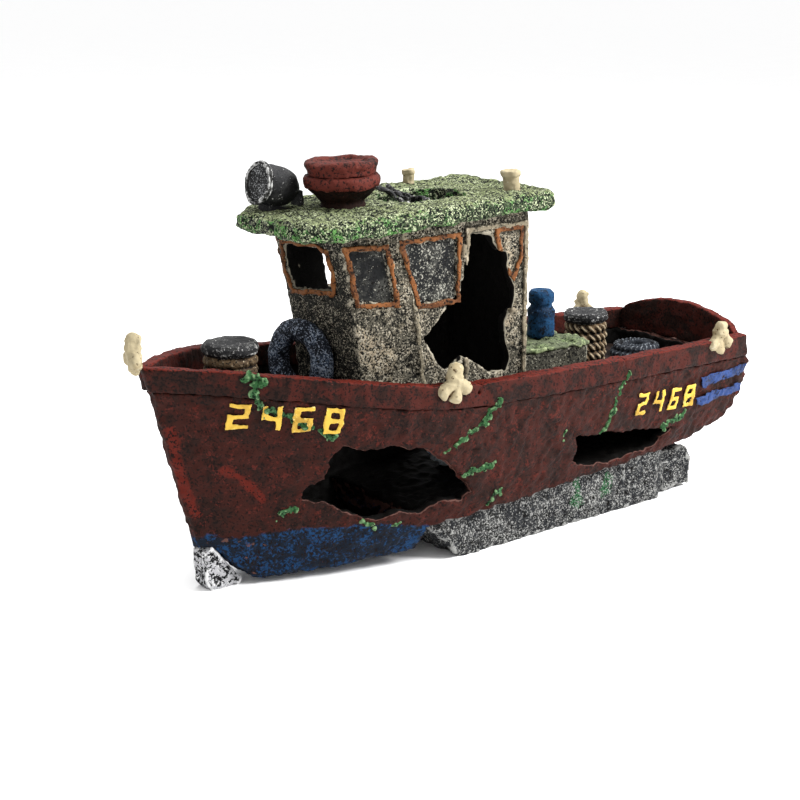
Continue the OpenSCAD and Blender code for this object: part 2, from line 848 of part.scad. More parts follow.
// Tyre leaning on the front of the wheelhouse
tyre_x = house_front_x + house_rake - tyre_tube / 2 - 4.3;
module tyre() {
  turn = 10;
  color([0.20, 0.26, 0.38])
    translate([tyre_x, 5.5, deck_z(tyre_x) + tyre_d / 2 - 0.4])
      rotate([0, 90, turn])
        rotate_extrude()
          translate([(tyre_d - tyre_tube) / 2, 0])
            circle(d = tyre_tube);
}

// Hatch box behind the wheelhouse, with moss on top and a gas bottle
hatch_y = -2;
hatch_top = deck_z(house_back_x) + hatch_h;
module hatch_box() {
  color(marine_grey)
    translate([house_back_x, hatch_y - hatch_w / 2, deck_z(house_back_x + hatch_l) - seat])
      cube([hatch_l, hatch_w, hatch_top - 1.4 - deck_z(house_back_x + hatch_l) + seat]);
}
module hatch_moss() {
  color(moss_green)
    translate([house_back_x, hatch_y - hatch_w / 2 - 0.6, hatch_top - 1.4])
      cube([hatch_l + 0.6, hatch_w + 1.2, 1.4]);
}
bottle_x = house_back_x + 20.5;
bottle_y = -5;
module gas_bottle() {
  r = bottle_d / 2;
  color(paint_blue)
    translate([bottle_x, bottle_y, hatch_top])
      rotate_extrude()
        polygon([
          [0, 0], [r - 0.6, 0], [r, 0.8], [r, 9.4], [r - 0.9, 10.6], [r - 0.9, 11.2], [0, 11.2]
        ]);
}
module gas_bottle_valve() {
  r = bottle_d / 2 - 0.3;
  color(paint_blue)
    translate([bottle_x, bottle_y, hatch_top + 11.2])
      rotate_extrude()
        polygon([[0, 0], [r - 0.5, 0], [r, 0.6], [r, 3.8], [r - 0.8, 4.8], [0, 5.2]]);
}

// Rope coil on the after deck
coil_x = stern_x - 15;
coil_y = 7;
module rope_coil() {
  coil_r = coil_d / 2 - rope_d / 2;
  color([0.24, 0.28, 0.36])
    translate([coil_x, coil_y, deck_z(coil_x - coil_d / 2) - 0.2])
      rotate_extrude()
        union() {
          for (turn = [[0, 0], [1, 0], [2, 0], [0.5, 0.85], [1.5, 0.85]])
            translate([coil_r - turn[0] * rope_d * 0.98, rope_d / 2 + turn[1] * rope_d])
              circle(d = rope_d, $fn = 24);
          translate([coil_r - 2 * rope_d, 0.3])
            square([2 * rope_d, rope_d * 1.2]);
        }
}

// Cleats: a knob with a stalk and three splayed lobes, cast onto the rail
lobe_share = 0.27;
lobe_lean = 48;
lobe_l = 0.42;
module cleat() {
  lobe = cleat_w * lobe_share;
  color(cream)
    union() {
      translate([0, 0, cleat_h * 0.62])
        sphere(d = lobe * 1.3, $fn = 32);
      translate([0, 0, cleat_h - lobe * 0.6])
        sphere(d = lobe * 1.1, $fn = 32);
      translate([0, 0, cleat_h * 0.3])
        cylinder(d = lobe * 0.9, h = cleat_h * 0.45, $fn = 32);
      for (lean = [-lobe_lean, 0, lobe_lean])
        translate([0, 0, cleat_h * 0.6])
          rotate([0, 180 + lean, 0]) {
            cylinder(d1 = lobe * 0.8, d2 = lobe, h = cleat_h * lobe_l, $fn = 32);
            translate([0, 0, cleat_h * lobe_l])
              sphere(d = lobe, $fn = 32);
          }
    }
}
module cleat_on_rail(x, side) {
  translate([x, side * (half_at(x, hull_top(x)) + band_proud - 0.4), rail_z(x) - cleat_h * 0.42])
    cleat();
}
module bow_cleat() {
  turn = 70;
  reach = cos(turn) * sin(lobe_lean) * lobe_l * cleat_h + lobe_share * cleat_w / 2;
  translate([stem_x - cleat_overhang + reach, -1.8, bow_h - 1.8])
    rotate([0, 0, turn])
      cleat();
}
module port_cleats() {
  cleat_on_rail(stem_x + 0.372 * hull_l, -1);
  cleat_on_rail(stem_x + 0.925 * hull_l, -1);
}
module starboard_cleats() {
  cleat_on_rail(stem_x + 0.372 * hull_l, 1);
  cleat_on_rail(stem_x + 0.925 * hull_l, 1);
}

// Painted shapes: thin raised skins on the hull sides
paint_t = 0.5;
module on_side(side, thick = paint_t) {
  reach = half_w + 10;
  intersection() {
    difference() {
      hull_block(thick);
      hull_block(0);
    }
    translate([0, side < 0 ? -3 : reach, 0])
      rotate([90, 0, 0])
        linear_extrude(reach - 3)
          children();
  }
}
module stripe(low, high) {
  polygon([
    follow([89, low]), follow([112.5, low + 1.6]),
    follow([112.5, high + 1.2]), follow([87, high])
  ]);
}
module stripes(side) {
  color(paint_blue)
    on_side(side, 0.6) {
      stripe(39.8, 44);
      stripe(32.8, 36.8);
    }
}
module port_stripes() stripes(-1);
module starboard_stripes() stripes(1);

// Draught marks: plain scale figures made of straight strokes on a 2 by 3 grid of corners
figure_w = 3.6;
figure_h = 6.6;
figure_stroke = 1.4;
strokes = [
  [[0, 2], [1, 2]], [[1, 2], [1, 1]], [[1, 1], [0, 1]], [[0, 1], [0, 0]], [[0, 0], [1, 0]],
  [[0, 2], [0, 1]], [[1, 1], [1, 0]]
];
figure_strokes = [[0, 1, 2, 3, 4], [5, 2, 1, 6], [0, 5, 3, 4, 6, 2], [0, 1, 2, 3, 4, 5, 6]];
// Groups of marks: place and height of the first figure, and the step to the next
mark_groups = [[-91.5, 53.2, 8, -0.8], [55.5, 36.4, 8.4, -0.5]];
module figure_shape(number) {
  for (s = figure_strokes[number])
    let (a = strokes[s][0], b = strokes[s][1])
      translate([min(a.x, b.x) * figure_w, min(a.y, b.y) * figure_h / 2])
        translate([-figure_stroke / 2, -figure_stroke / 2])
          square([abs(a.x - b.x) * figure_w + figure_stroke, abs(a.y - b.y) * figure_h / 2 + figure_stroke]);
}
module marks(side) {
  color(mark_yellow)
    on_side(side, 0.5)
      for (group = mark_groups, i = [0 : 3])
        translate(follow([group[0] + i * group[2], group[1] + i * group[3]]))
          mirror([side > 0 ? 1 : 0, 0])
            translate([side > 0 ? -figure_w : 0, 0])
              figure_shape(side > 0 ? 3 - i : i);
}
module port_marks() marks(-1);
module starboard_marks() marks(1);

// Algae: strands and blots as short runs of corners: [place, height]
port_strands = [
  [[-85.5, 61], [-84, 58.5], [-79, 57], [-73, 53.5], [-68, 50.5], [-63, 47.5]],
  [[-75, 24.5], [-70, 25.6]], [[-51, 17.5], [-48.5, 17.8]], [[-40.5, 15.5], [-38, 16]],
  [[-10.6, 51.4], [-12.5, 49], [-17, 45.5], [-22, 42.5], [-28.5, 38.5]],
  [[-18, 29.7], [-13, 30.8], [-8.5, 31]], [[-6, 17.5], [-4, 21.2], [-1, 21.5]],
  [[21.5, 35.5], [23, 37]], [[45.5, 48.5], [44, 43.5], [43.5, 40], [40.5, 33.5]],
  [[72, 29.5], [77.5, 30.5], [84, 31.5]]
];
module strand(points, d) {
  for (i = [0 : len(points) - 2])
    hull() {
      translate(follow(points[i]))
        circle(d = d * (i % 2 == 0 ? 1.3 : 0.9), $fn = 8);
      translate(follow(points[i + 1]))
        circle(d = d * (i % 2 == 0 ? 0.8 : 1.2), $fn = 8);
    }
}
module algae(side, runs) {
  color(algae_green)
    on_side(side, 0.8)
      for (run = runs)
        strand(run, 1.8);
}
module port_algae() algae(-1, port_strands);
starboard_strands = [
  [[-58, 55], [-52, 49], [-49, 44]], [[-20, 33], [-12, 30], [-6, 31]], [[62, 53], [66, 45], [73, 41]]
];
module starboard_algae() algae(1, starboard_strands);

// Air line: inlet at the back, tube through the base, elbow, riser and the stone's holder
module bored_rod(d, h) {
  difference() {
    cylinder(d = d, h = h);
    translate([0, 0, -1])
      cylinder(d = air_bore, h = h + 2);
  }
}
module air_inlet() {
  collar_t = 2;
  color(clear_plastic)
    translate([step_back_x, stone_y, air_z])
      rotate([0, 90, 0])
        difference() {
          union() {
            translate([0, 0, -step_l])
              cylinder(d = air_d, h = step_l + collar_t + inlet_l);
            cylinder(d = air_d + 4, h = collar_t);
          }
          translate([0, 0, -step_l - 1])
            cylinder(d = air_bore, h = step_l + collar_t + inlet_l + 2);
        }
}
module air_tube() {
  color(clear_plastic)
    translate([stone_x + elbow_d / 2 - 1, stone_y, air_z])
      rotate([0, 90, 0])
        bored_rod(air_d, base_back_x - stone_x - elbow_d / 2 + 1);
}
module air_elbow() {
  color(clear_plastic)
    translate([stone_x, stone_y, air_z])
      difference() {
        translate([0, 0, -elbow_d / 2])
          cylinder(d = elbow_d, h = elbow_d);
        cylinder(d = air_bore, h = elbow_d);
        rotate([0, 90, 0])
          cylinder(d = air_bore, h = elbow_d);
        translate([elbow_d / 2 - 1, 0, 0])
          rotate([0, 90, 0])
            cylinder(d = air_d, h = elbow_d);
      }
}
module air_riser() {
  low = air_z + elbow_d / 2;
  color(clear_plastic)
    translate([stone_x, stone_y, low])
      bored_rod(air_d, stone_seat_z - low);
}
module stone_holder() {
  color(clear_plastic)
    translate([stone_x, stone_y, stone_seat_z])
      difference() {
        union() {
          cylinder(d = holder_d, h = holder_t);
          cylinder(d = air_d, h = holder_t + nipple_l);
        }
        translate([0, 0, -1])
          cylinder(d = air_bore, h = holder_t + nipple_l + 2);
      }
}
module air_stone() {
  r = stone_d / 2;
  color([0.35, 0.45, 0.62])
    translate([stone_x, stone_y, stone_seat_z + holder_t])
      difference() {
        rotate_extrude()
          polygon([
            [0, 0], [r - 1, 0], [r, 1], [r, stone_l - 2], [r - 2, stone_l], [0, stone_l]
          ]);
        translate([0, 0, -1])
          cylinder(r = air_d / 2 + nipple_gap, h = nipple_l + 1.5);
      }
}

hull_shell();
forefoot();
rock_base();
base_step();
deck();
port_rail();
starboard_rail();
transom_board();
wheelhouse();
roof();
front_window_frame();
corner_window_frame();
corner_window_pane();
side_window_frame();
side_window_pane();
starboard_window_frames();
starboard_window_pane();
door_frame();
door_window_frame();
door_hinge();
door_knob();
corner_posts();
funnel_stem();
funnel_band();
funnel_cap();
lamp_barrel();
lamp_rim();
lamp_glass();
lamp_foot();
roof_stumps();
roof_twigs();
bow_bollard();
bow_bollard_cap();
stern_bollard();
stern_bollard_cap();
tyre();
hatch_box();
hatch_moss();
gas_bottle();
gas_bottle_valve();
rope_coil();
bow_cleat();
port_cleats();
starboard_cleats();
port_stripes();
starboard_stripes();
port_marks();
starboard_marks();
port_algae();
starboard_algae();
air_inlet();
air_tube();
air_elbow();
air_riser();
stone_holder();
air_stone();
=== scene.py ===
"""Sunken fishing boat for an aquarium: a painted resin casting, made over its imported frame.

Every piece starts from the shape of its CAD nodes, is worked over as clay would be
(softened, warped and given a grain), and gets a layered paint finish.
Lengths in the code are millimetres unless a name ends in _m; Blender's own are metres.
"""

import json
import math

import bmesh
import bpy
import numpy as np
from bpy.props import FloatProperty, FloatVectorProperty, PointerProperty
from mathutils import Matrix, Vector
from mathutils.bvhtree import BVHTree

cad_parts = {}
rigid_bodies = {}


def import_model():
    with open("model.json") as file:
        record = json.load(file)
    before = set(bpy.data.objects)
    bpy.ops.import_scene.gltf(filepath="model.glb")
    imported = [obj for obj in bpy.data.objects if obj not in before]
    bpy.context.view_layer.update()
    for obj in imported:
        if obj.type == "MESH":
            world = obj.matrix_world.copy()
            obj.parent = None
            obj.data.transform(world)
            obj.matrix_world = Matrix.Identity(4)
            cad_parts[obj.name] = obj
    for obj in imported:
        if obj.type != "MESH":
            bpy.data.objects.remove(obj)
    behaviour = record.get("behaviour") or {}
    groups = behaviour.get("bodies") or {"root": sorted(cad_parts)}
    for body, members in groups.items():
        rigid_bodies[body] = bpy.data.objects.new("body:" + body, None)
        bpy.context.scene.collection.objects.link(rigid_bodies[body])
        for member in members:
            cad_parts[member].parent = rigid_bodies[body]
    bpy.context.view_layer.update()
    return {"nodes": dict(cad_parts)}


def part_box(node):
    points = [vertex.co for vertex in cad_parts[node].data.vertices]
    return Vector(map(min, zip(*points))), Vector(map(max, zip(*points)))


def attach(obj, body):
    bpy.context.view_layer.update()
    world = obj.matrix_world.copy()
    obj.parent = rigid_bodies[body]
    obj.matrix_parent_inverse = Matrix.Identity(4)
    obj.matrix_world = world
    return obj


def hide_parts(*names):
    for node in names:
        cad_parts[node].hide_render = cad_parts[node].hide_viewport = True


bl_info = {
    "name": "Sunken fishing boat",
    "version": (1, 0, 0),
    "blender": (4, 5, 0),
    "location": "View3D > Sidebar > Boat",
    "description": "Makes the painted castings of a sunken fishing boat ornament",
    "category": "Object",
}

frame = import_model()
MM = 0.001
BOAT = "boat"
STONE = "air_stone"
SHEEN = 0.06  # specular level of the matt paints
PORT, STARBOARD = -1, 1  # signs of the two sides along Y


# ------------------------------------------------------------------ settings


def colour(name, description, value):
    """A colour setting, in linear light."""
    return FloatVectorProperty(
        name=name, description=description, default=value, subtype="COLOR", min=0, max=1
    )


def length(name, description, value):
    """A length setting, in metres."""
    return FloatProperty(
        name=name, description=description, default=value, unit="LENGTH", min=0
    )


def grain(owner, value):
    """How fine a casting's skin is: its smallest modelled detail, in metres."""
    detail = f"Size of the smallest modelled detail of the {owner.lower()} castings"
    return length(f"{owner} grain", detail, value)


class BoatHullSettings(bpy.types.PropertyGroup):
    """Grain and paint of the hull, its rails and the rock under it"""

    hull_grain: grain("Hull", 0.0007)
    rail_grain: grain("Rail", 0.0005)
    rock_grain: grain("Rock", 0.0006)
    hull_red: colour("Hull red", "Main paint of the hull", (0.029, 0.0076, 0.0054))
    hull_brown: colour("Hull brown", "Darker patches in the hull paint", (0.0165, 0.0066, 0.005))
    # Rubbed red near the stem; on the rails it is also the painted highlight on their upward faces
    worn_and_highlight_red: colour("Worn red", "Bright red where the paint is rubbed", (0.08, 0.01, 0.006))
    rail_red: colour("Rail red", "Paint of the rails", (0.04, 0.0085, 0.006))
    bottom_blue: colour("Bottom blue", "Paint below the waterline", (0.007, 0.033, 0.09))
    stripe_blue: colour("Stripe blue", "Paint of the stripes at the stern", (0.024, 0.046, 0.14))
    mark_yellow: colour("Mark yellow", "Paint of the draught marks", (0.56, 0.36, 0.055))
    rock_dark: colour("Rock dark", "Ground of the rock base", (0.016, 0.017, 0.019))
    rock_pale: colour("Rock pale", "Dry brushing on the rock base", (0.235, 0.235, 0.225))
    algae_green: colour("Algae green", "Algae on the hull", (0.02, 0.066, 0.022))


class BoatHouseSettings(bpy.types.PropertyGroup):
    """Grain and paint of the wheelhouse, its windows and its roof"""

    wall_grain: grain("Wall", 0.00055)
    roof_grain: grain("Roof", 0.0005)
    trim_grain: grain("Trim", 0.0003)
    wall_grey: colour("Wall grey", "Ground of the walls", (0.068, 0.062, 0.047))
    wall_khaki: colour("Wall khaki", "Rubbed patches of the walls", (0.165, 0.14, 0.098))
    pane_black: colour("Pane black", "Ground of the blind windows", (0.01, 0.0105, 0.011))
    frame_orange: colour("Frame orange", "Paint of the window frames", (0.165, 0.063, 0.022))
    moss_green: colour("Moss green", "Bright moss along the roof's edge", (0.085, 0.215, 0.058))
    # Paler moss on the roof's upward faces, partly painted light on the tops
    pale_moss_and_top_light: colour("Moss pale", "Rubbed moss on the top of the roof", (0.155, 0.18, 0.088))


class BoatGearSettings(bpy.types.PropertyGroup):
    """Grain and paint of the gear on the roof and the decks"""

    gear_grain: grain("Gear", 0.0004)
    fine_grain: grain("Fine", 0.0003)
    cream: colour("Cream", "Paint of the cleats and stumps", (0.31, 0.262, 0.165))
    rope_brown: colour("Rope brown", "Rope wound on the bollards", (0.098, 0.064, 0.035))
    iron_black: colour("Iron black", "Ground of the black pieces", (0.0085, 0.0085, 0.0095))
    tyre_blue: colour("Tyre blue", "Blue sheen painted on the tyre", (0.04, 0.058, 0.092))
    bottle_blue: colour("Bottle blue", "Paint of the gas bottle", (0.0095, 0.042, 0.1))
    coil_grey: colour("Coil grey", "Paint of the rope coil", (0.017, 0.02, 0.025))
    stone_blue: colour("Stone blue", "Colour of the air stone", (0.1, 0.19, 0.34))


class BoatStageSettings(bpy.types.PropertyGroup):
    """Camera and light"""

    azimuth: FloatProperty(
        name="Azimuth", description="Camera's turn around the boat",
        default=math.radians(-38.08), subtype="ANGLE",
    )
    elevation: FloatProperty(
        name="Elevation", description="Camera's angle above the horizon",
        default=math.radians(14.81), subtype="ANGLE",
    )
    distance: length("Distance", "From the camera to its target", 0.524)
    target: FloatVectorProperty(
        name="Target", description="Where the camera looks",
        default=(-0.0179, 0.0, 0.04622), subtype="TRANSLATION",
    )
    lens: FloatProperty(
        name="Lens", description="Focal length, in millimetres",
        default=73.57, subtype="DISTANCE_CAMERA",
    )
    sky: FloatProperty(name="Sky", description="Strength of the even light", default=1.0, min=0)
    key: FloatProperty(
        name="Key", description="Power of the large light", default=15.0, min=0, unit="POWER"
    )


# ------------------------------------------------------------------ meshes


def lumps(points, size, seed):
    """Smooth noise from -1 to 1 at each point, with lumps of about that size."""
    cell = points / size + seed * 11.37
    base = np.floor(cell)
    part = cell - base
    part = part * part * (3 - 2 * part)
    base = base.astype(np.int64)
    total = np.zeros(len(points))
    for corner in range(8):
        step = np.array([corner & 1, corner >> 1 & 1, corner >> 2 & 1])
        at = base + step
        mixed = at[:, 0] * 73856093 ^ at[:, 1] * 19349663 ^ at[:, 2] * 83492791 ^ seed * 26544357
        mixed = (mixed ^ mixed >> 13) * 1274126177 & 0x7FFFFFFF
        mixed = (mixed ^ mixed >> 15) * 668265263 & 0x7FFFFFFF
        value = (mixed >> 7 & 0xFFFF) / 32767.5 - 1
        total += value * np.prod(np.where(step == 1, part, 1 - part), axis=1)
    return total


def points_of(mesh):
    """A mesh's points, in millimetres."""
    flat = np.empty(len(mesh.vertices) * 3)
    mesh.vertices.foreach_get("co", flat)
    return flat.reshape(-1, 3) / MM


def set_points(mesh, points):
    """Gives a mesh new points, in millimetres."""
    mesh.vertices.foreach_set("co", (points * MM).ravel())
    mesh.update()


def normals_of(mesh):
    """The way each point of a mesh faces."""
    flat = np.empty(len(mesh.vertices) * 3)
    mesh.vertex_normals.foreach_get("vector", flat)
    return flat.reshape(-1, 3)


def edges_of(mesh):
    """The two points of each edge of a mesh."""
    flat = np.empty(len(mesh.edges) * 2, np.int64)
    mesh.edges.foreach_get("vertices", flat)
    return flat.reshape(-1, 2)


def neighbour_mean(values, edges):
    """The mean of each point's neighbours."""
    count = np.bincount(edges.ravel(), minlength=len(values))
    total = np.zeros_like(values)
    for column in range(values.shape[1]):
        total[:, column] = np.bincount(
            edges[:, 0], values[edges[:, 1], column], len(values)
        ) + np.bincount(edges[:, 1], values[edges[:, 0], column], len(values))
    return total / np.maximum(count, 1)[:, None]


def set_mask(mesh, name, values):
    """Stores one number a point, which a finish can read by its name."""
    layer = mesh.attributes.new(name, "FLOAT", "POINT")
    layer.data.foreach_set("value", np.asarray(values, np.float32))


def raised_mask(mesh, reach=3, rounds=2, gain=1.6):
    """How far each point stands out of its surroundings, from about -1 to 1."""
    points, edges = points_of(mesh), edges_of(mesh)
    around = points
    for _ in range(reach):
        around = neighbour_mean(around, edges)
    spans = np.linalg.norm(points[edges[:, 0]] - points[edges[:, 1]], axis=1)
    raised = ((points - around) * normals_of(mesh)).sum(1, keepdims=True) / spans.mean()
    for _ in range(rounds):
        raised = 0.5 * raised + 0.5 * neighbour_mean(raised, edges)
    return np.clip(raised[:, 0] * gain, -1, 1)


def inward_mask(mesh, core):
    """1 where a surface faces a core line, 0 where it faces away from it."""
    points, normals = points_of(mesh), normals_of(mesh)
    start, end = np.array(core[0], float), np.array(core[1], float)
    run = end - start
    share = np.clip(((points - start) @ run) / (run @ run), 0, 1)[:, None]
    away = points - (start + share * run)
    away /= np.maximum(np.linalg.norm(away, axis=1, keepdims=True), 1e-6)
    return np.clip(0.5 - (normals * away).sum(1), 0, 1)


def near_paths(points, paths, width):
    """From 0 to 1, how near each point is to paths drawn on the boat's side: (place, height)."""
    nearest = np.full(len(points), 1e9)
    flat = points[:, [0, 2]]
    for path in paths:
        for a, b in zip(path[:-1], path[1:]):
            a, run = np.array(a, float), np.array(b, float) - np.array(a, float)
            share = np.clip(((flat - a) @ run) / max(run @ run, 1e-9), 0, 1)[:, None]
            nearest = np.minimum(nearest, np.linalg.norm(flat - a - share * run, axis=1))
    return np.clip(1 - nearest / width, 0, 1)


def object_from(name, mesh):
    piece = bpy.data.objects.new(name, mesh)
    bpy.context.scene.collection.objects.link(piece)
    return piece


def remeshed(name, mesh, grain_m):
    """A closed skin of even small faces over a mesh, as a new object."""
    rough = object_from(name + "_rough", mesh)
    skin = rough.modifiers.new("skin", "REMESH")
    skin.mode = "VOXEL"
    skin.voxel_size = grain_m * 1
    result = bpy.data.meshes.new_from_object(
        rough.evaluated_get(bpy.context.evaluated_depsgraph_get())
    )
    bpy.data.objects.remove(rough)
    bpy.data.meshes.remove(mesh)
    result.name = name
    return object_from(name, result)


def joined_nodes(name, nodes):
    """One mesh holding copies of CAD nodes, with their split points joined again."""
    shape = bmesh.new()
    for node in nodes:
        shape.from_mesh(frame["nodes"][node].data)
    bmesh.ops.remove_doubles(shape, verts=shape.verts, dist=1e-6)
    mesh = bpy.data.meshes.new(name)
    shape.to_mesh(mesh)
    shape.free()
    return mesh


def work(piece, soften=1, warp=(), relief=(), seed=1, carve=None, core=None):
    """Works a piece over: softens it, warps it, gives it relief, and stores its masks.

    warp and relief are pairs of amount and size; carve takes points and normals and returns
    how far each point moves out along its normal; core is the line that cavities face.
    """
    mesh = piece.data
    points, edges = points_of(mesh), edges_of(mesh)
    for _ in range(soften):
        points = 0.5 * points + 0.5 * neighbour_mean(points, edges)
    start = points.copy()
    for number, (amount, size) in enumerate(warp):
        for axis in range(3):
            points[:, axis] += amount * lumps(start, size, seed + 7 * number + axis)
    set_points(mesh, points)
    normals = normals_of(mesh)
    out = np.zeros(len(points))
    for number, (amount, size) in enumerate(relief):
        out += amount * lumps(start, size, seed + 31 + number)
    if carve:
        out += carve(start, normals)
    set_points(mesh, points + normals * out[:, None])
    set_mask(mesh, "raised", raised_mask(mesh))
    if core:
        set_mask(mesh, "inward", inward_mask(mesh, core))
    mesh.shade_smooth()
    return piece


def cast(name, nodes, grain_m, slot, finish, body=BOAT, **working):
    """A worked casting that stands for CAD nodes, painted and riding on its body."""
    piece = remeshed(name, joined_nodes(name, nodes), grain_m)
    work(piece, **working)
    return placed(piece, nodes, finish, body)


def cast_node(node, grain_m, slot, finish, **working):
    """A casting that stands for one CAD node and is named after it."""
    return cast(node + "_cast", (node,), grain_m, slot, finish, **working)


def placed(piece, nodes, finish, body=BOAT):
    """Paints a piece and ties it to the frame."""
    piece.data.materials.clear()
    piece.data.materials.append(finish)
    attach(piece, body)
    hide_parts(*nodes)
    return piece


# ------------------------------------------------------------------ finishes


class Finish:
    """A paint finish made of node layers over one Principled shader. Sizes are millimetres."""

    def __init__(self, name):
        self.material = bpy.data.materials.new(name)
        self.material.use_nodes = True
        self.tree = self.material.node_tree
        self.shader = self.tree.nodes["Principled BSDF"]
        place = self.add("ShaderNodeVectorMath", operation="SCALE")
        self.put(place.inputs[0], self.add("ShaderNodeTexCoord").outputs["Object"])
        place.inputs["Scale"].default_value = 1 / MM
        self.place = place.outputs[0]

    def add(self, kind, **values):
        node = self.tree.nodes.new(kind)
        for key, value in values.items():
            setattr(node, key, value)
        return node

    def put(self, socket, value):
        """Links a socket, or sets its number or colour."""
        if isinstance(value, bpy.types.NodeSocket):
            self.tree.links.new(value, socket)
        elif isinstance(value, (int, float)):
            socket.default_value = value
        else:
            socket.default_value = (*value, 1.0)[: len(socket.default_value)]

    def noise(self, size, detail=3.0, rough=0.6, seed=0.0):
        """Soft noise around 0.5, with lumps of about that size."""
        node = self.add("ShaderNodeTexNoise", noise_dimensions="4D")
        self.put(node.inputs["Vector"], self.place)
        node.inputs["W"].default_value = seed
        node.inputs["Scale"].default_value = 1 / size
        node.inputs["Detail"].default_value = detail
        node.inputs["Roughness"].default_value = rough
        return node.outputs["Fac"]

    def mask(self, name):
        """A number stored on the mesh's points."""
        return self.add("ShaderNodeAttribute", attribute_name=name).outputs["Fac"]

    def facing(self, letter):
        """How much the surface faces along an axis, from -1 to 1."""
        node = self.add("ShaderNodeSeparateXYZ")
        self.put(node.inputs[0], self.add("ShaderNodeNewGeometry").outputs["Normal"])
        return node.outputs[letter]

    def sum(self, a, b, factor=1.0):
        """a + b * factor."""
        node = self.add("ShaderNodeMath", operation="MULTIPLY_ADD")
        self.put(node.inputs[0], b)
        self.put(node.inputs[1], factor)
        self.put(node.inputs[2], a)
        return node.outputs[0]

    def times(self, a, b):
        node = self.add("ShaderNodeMath", operation="MULTIPLY")
        self.put(node.inputs[0], a)
        self.put(node.inputs[1], b)
        return node.outputs[0]

    def over(self, value, low, high):
        """0 below low, 1 above high; the other way round where low is above high."""
        node = self.add("ShaderNodeMapRange", interpolation_type="SMOOTHSTEP")
        self.put(node.inputs["Value"], value)
        self.put(node.inputs["From Min"], min(low, high))
        self.put(node.inputs["From Max"], max(low, high))
        self.put(node.inputs["To Min"], 0.0 if low <= high else 1.0)
        self.put(node.inputs["To Max"], 1.0 if low <= high else 0.0)
        return node.outputs[0]

    def blend(self, factor, a, b):
        """Colour a where the factor is 0, b where it is 1."""
        node = self.add("ShaderNodeMix", data_type="RGBA")
        self.put(node.inputs["Factor"], factor)
        self.put(node.inputs[6], a)
        self.put(node.inputs[7], b)
        return node.outputs[2]

    def finish(self, colours, height, depth, rough=(0.45, 0.7), specular=SHEEN):
        """Joins the layers to the shader: colour, relief of a depth, and roughness."""
        bump = self.add("ShaderNodeBump")
        bump.inputs["Strength"].default_value = 0.8
        bump.inputs["Distance"].default_value = depth * MM
        self.put(bump.inputs["Height"], height)
        spread = self.add("ShaderNodeMapRange")
        self.put(spread.inputs["Value"], height)
        spread.inputs["From Min"].default_value = 0.3
        spread.inputs["From Max"].default_value = 0.7
        spread.inputs["To Min"].default_value = rough[0]
        spread.inputs["To Max"].default_value = rough[1]
        self.put(self.shader.inputs["Base Color"], colours)
        self.put(self.shader.inputs["Roughness"], spread.outputs[0])
        self.put(self.shader.inputs["Normal"], bump.outputs["Normal"])
        self.shader.inputs["Specular IOR Level"].default_value = specular
        return self.material


# Near-black of dark grains and washes, and the painted shade on inner faces seen through the breaks
BLACK_AND_CAVITY_SHADE = (0.0045, 0.004, 0.0036)
RED_SHADE = (0.0065, 0.0035, 0.003)


def granular(
    name, ground, patch, dark, pale, grain=0.5, patches=(0.46, 0.62), darks=(0.46, 0.4),
    pales=(0.66, 0.76), brush=(0.3, 0.75), hollow=(-0.25, -0.8), depth=0.3,
    rough=(0.5, 0.8), cavity_shade=None, layers=None, edge=None, specular=SHEEN,
):
    """Cast resin with granules: a ground in two tones, dark and pale grains, dry-brushed edges.

    brush and hollow are where the raised mask turns pale or dark. The cavity colour goes on
    surfaces that face inwards: black inside paint, with painted shade in the hollow. edge is the
    colour of the broken edge between them and the outside. layers(finish, colours, fine) may paint
    more over the ground.
    """
    f = Finish(name)
    fine = f.noise(grain, 2.0, 0.65, 1.3)
    other = f.noise(grain * 1.25, 2.0, 0.65, 7.9)
    broad = f.noise(grain * 11, 4.0, 0.6, 3.1)
    colours = f.blend(f.over(broad, *patches), ground, patch)
    if layers:
        colours = layers(f, colours, fine)
    raised = f.mask("raised")
    shade = f.sum(other, broad, -0.25)
    colours = f.blend(f.over(shade, darks[0] - 0.125, darks[1] - 0.125), colours, dark)
    light = f.sum(fine, broad, 0.3)
    colours = f.blend(f.over(light, pales[0] + 0.15, pales[1] + 0.15), colours, pale)
    ragged = f.sum(raised, f.sum(-0.5, fine), 1.1)
    colours = f.blend(f.over(ragged, *hollow), colours, dark)
    colours = f.blend(f.over(ragged, *brush), colours, pale)
    if cavity_shade:
        # Inward faces take the cavity colour: black inside paint, with painted shade in the hollow
        facing = f.sum(f.mask("inward"), f.sum(-0.5, fine), 0.3)
        if edge:
            band = f.times(f.over(facing, 0.16, 0.3), f.over(facing, 0.66, 0.52))
            colours = f.blend(band, colours, edge)
        colours = f.blend(f.over(facing, 0.52, 0.74), colours, cavity_shade)
    return f.finish(colours, f.sum(fine, other, 0.6), depth, rough, specular=specular)


# ------------------------------------------------------------------ hull

# Corners of the blue bottom's upper edge: place and height
WATERLINE = ((-98, 16.2), (-93.6, 17.9), (-84.8, 16.6), (-74.5, 18.4), (-60.4, 17.6),
             (-45.2, 17), (-27.2, 13), (-20, 4), (120, 4))
# Where the paint is rubbed to a bright red near the stem
RUBBED = (
    ((-104, 52), (-101.5, 40), (-98.6, 30), (-96, 24.6)),
    ((-91, 39.2), (-87.5, 37), (-84, 34)),
    ((-86.7, 36), (-83.5, 33), (-80.5, 29)),
)
HULL_CORE = ((-72, 0, 44), (84, 0, 42))
STERN_WAVES_START, STERN_WAVES_FADE = 108, 4
# Where moss is painted on the rock
MOSS_PATHS = (((36, 17), (38, 8)), ((52, 13), (50, 9)))
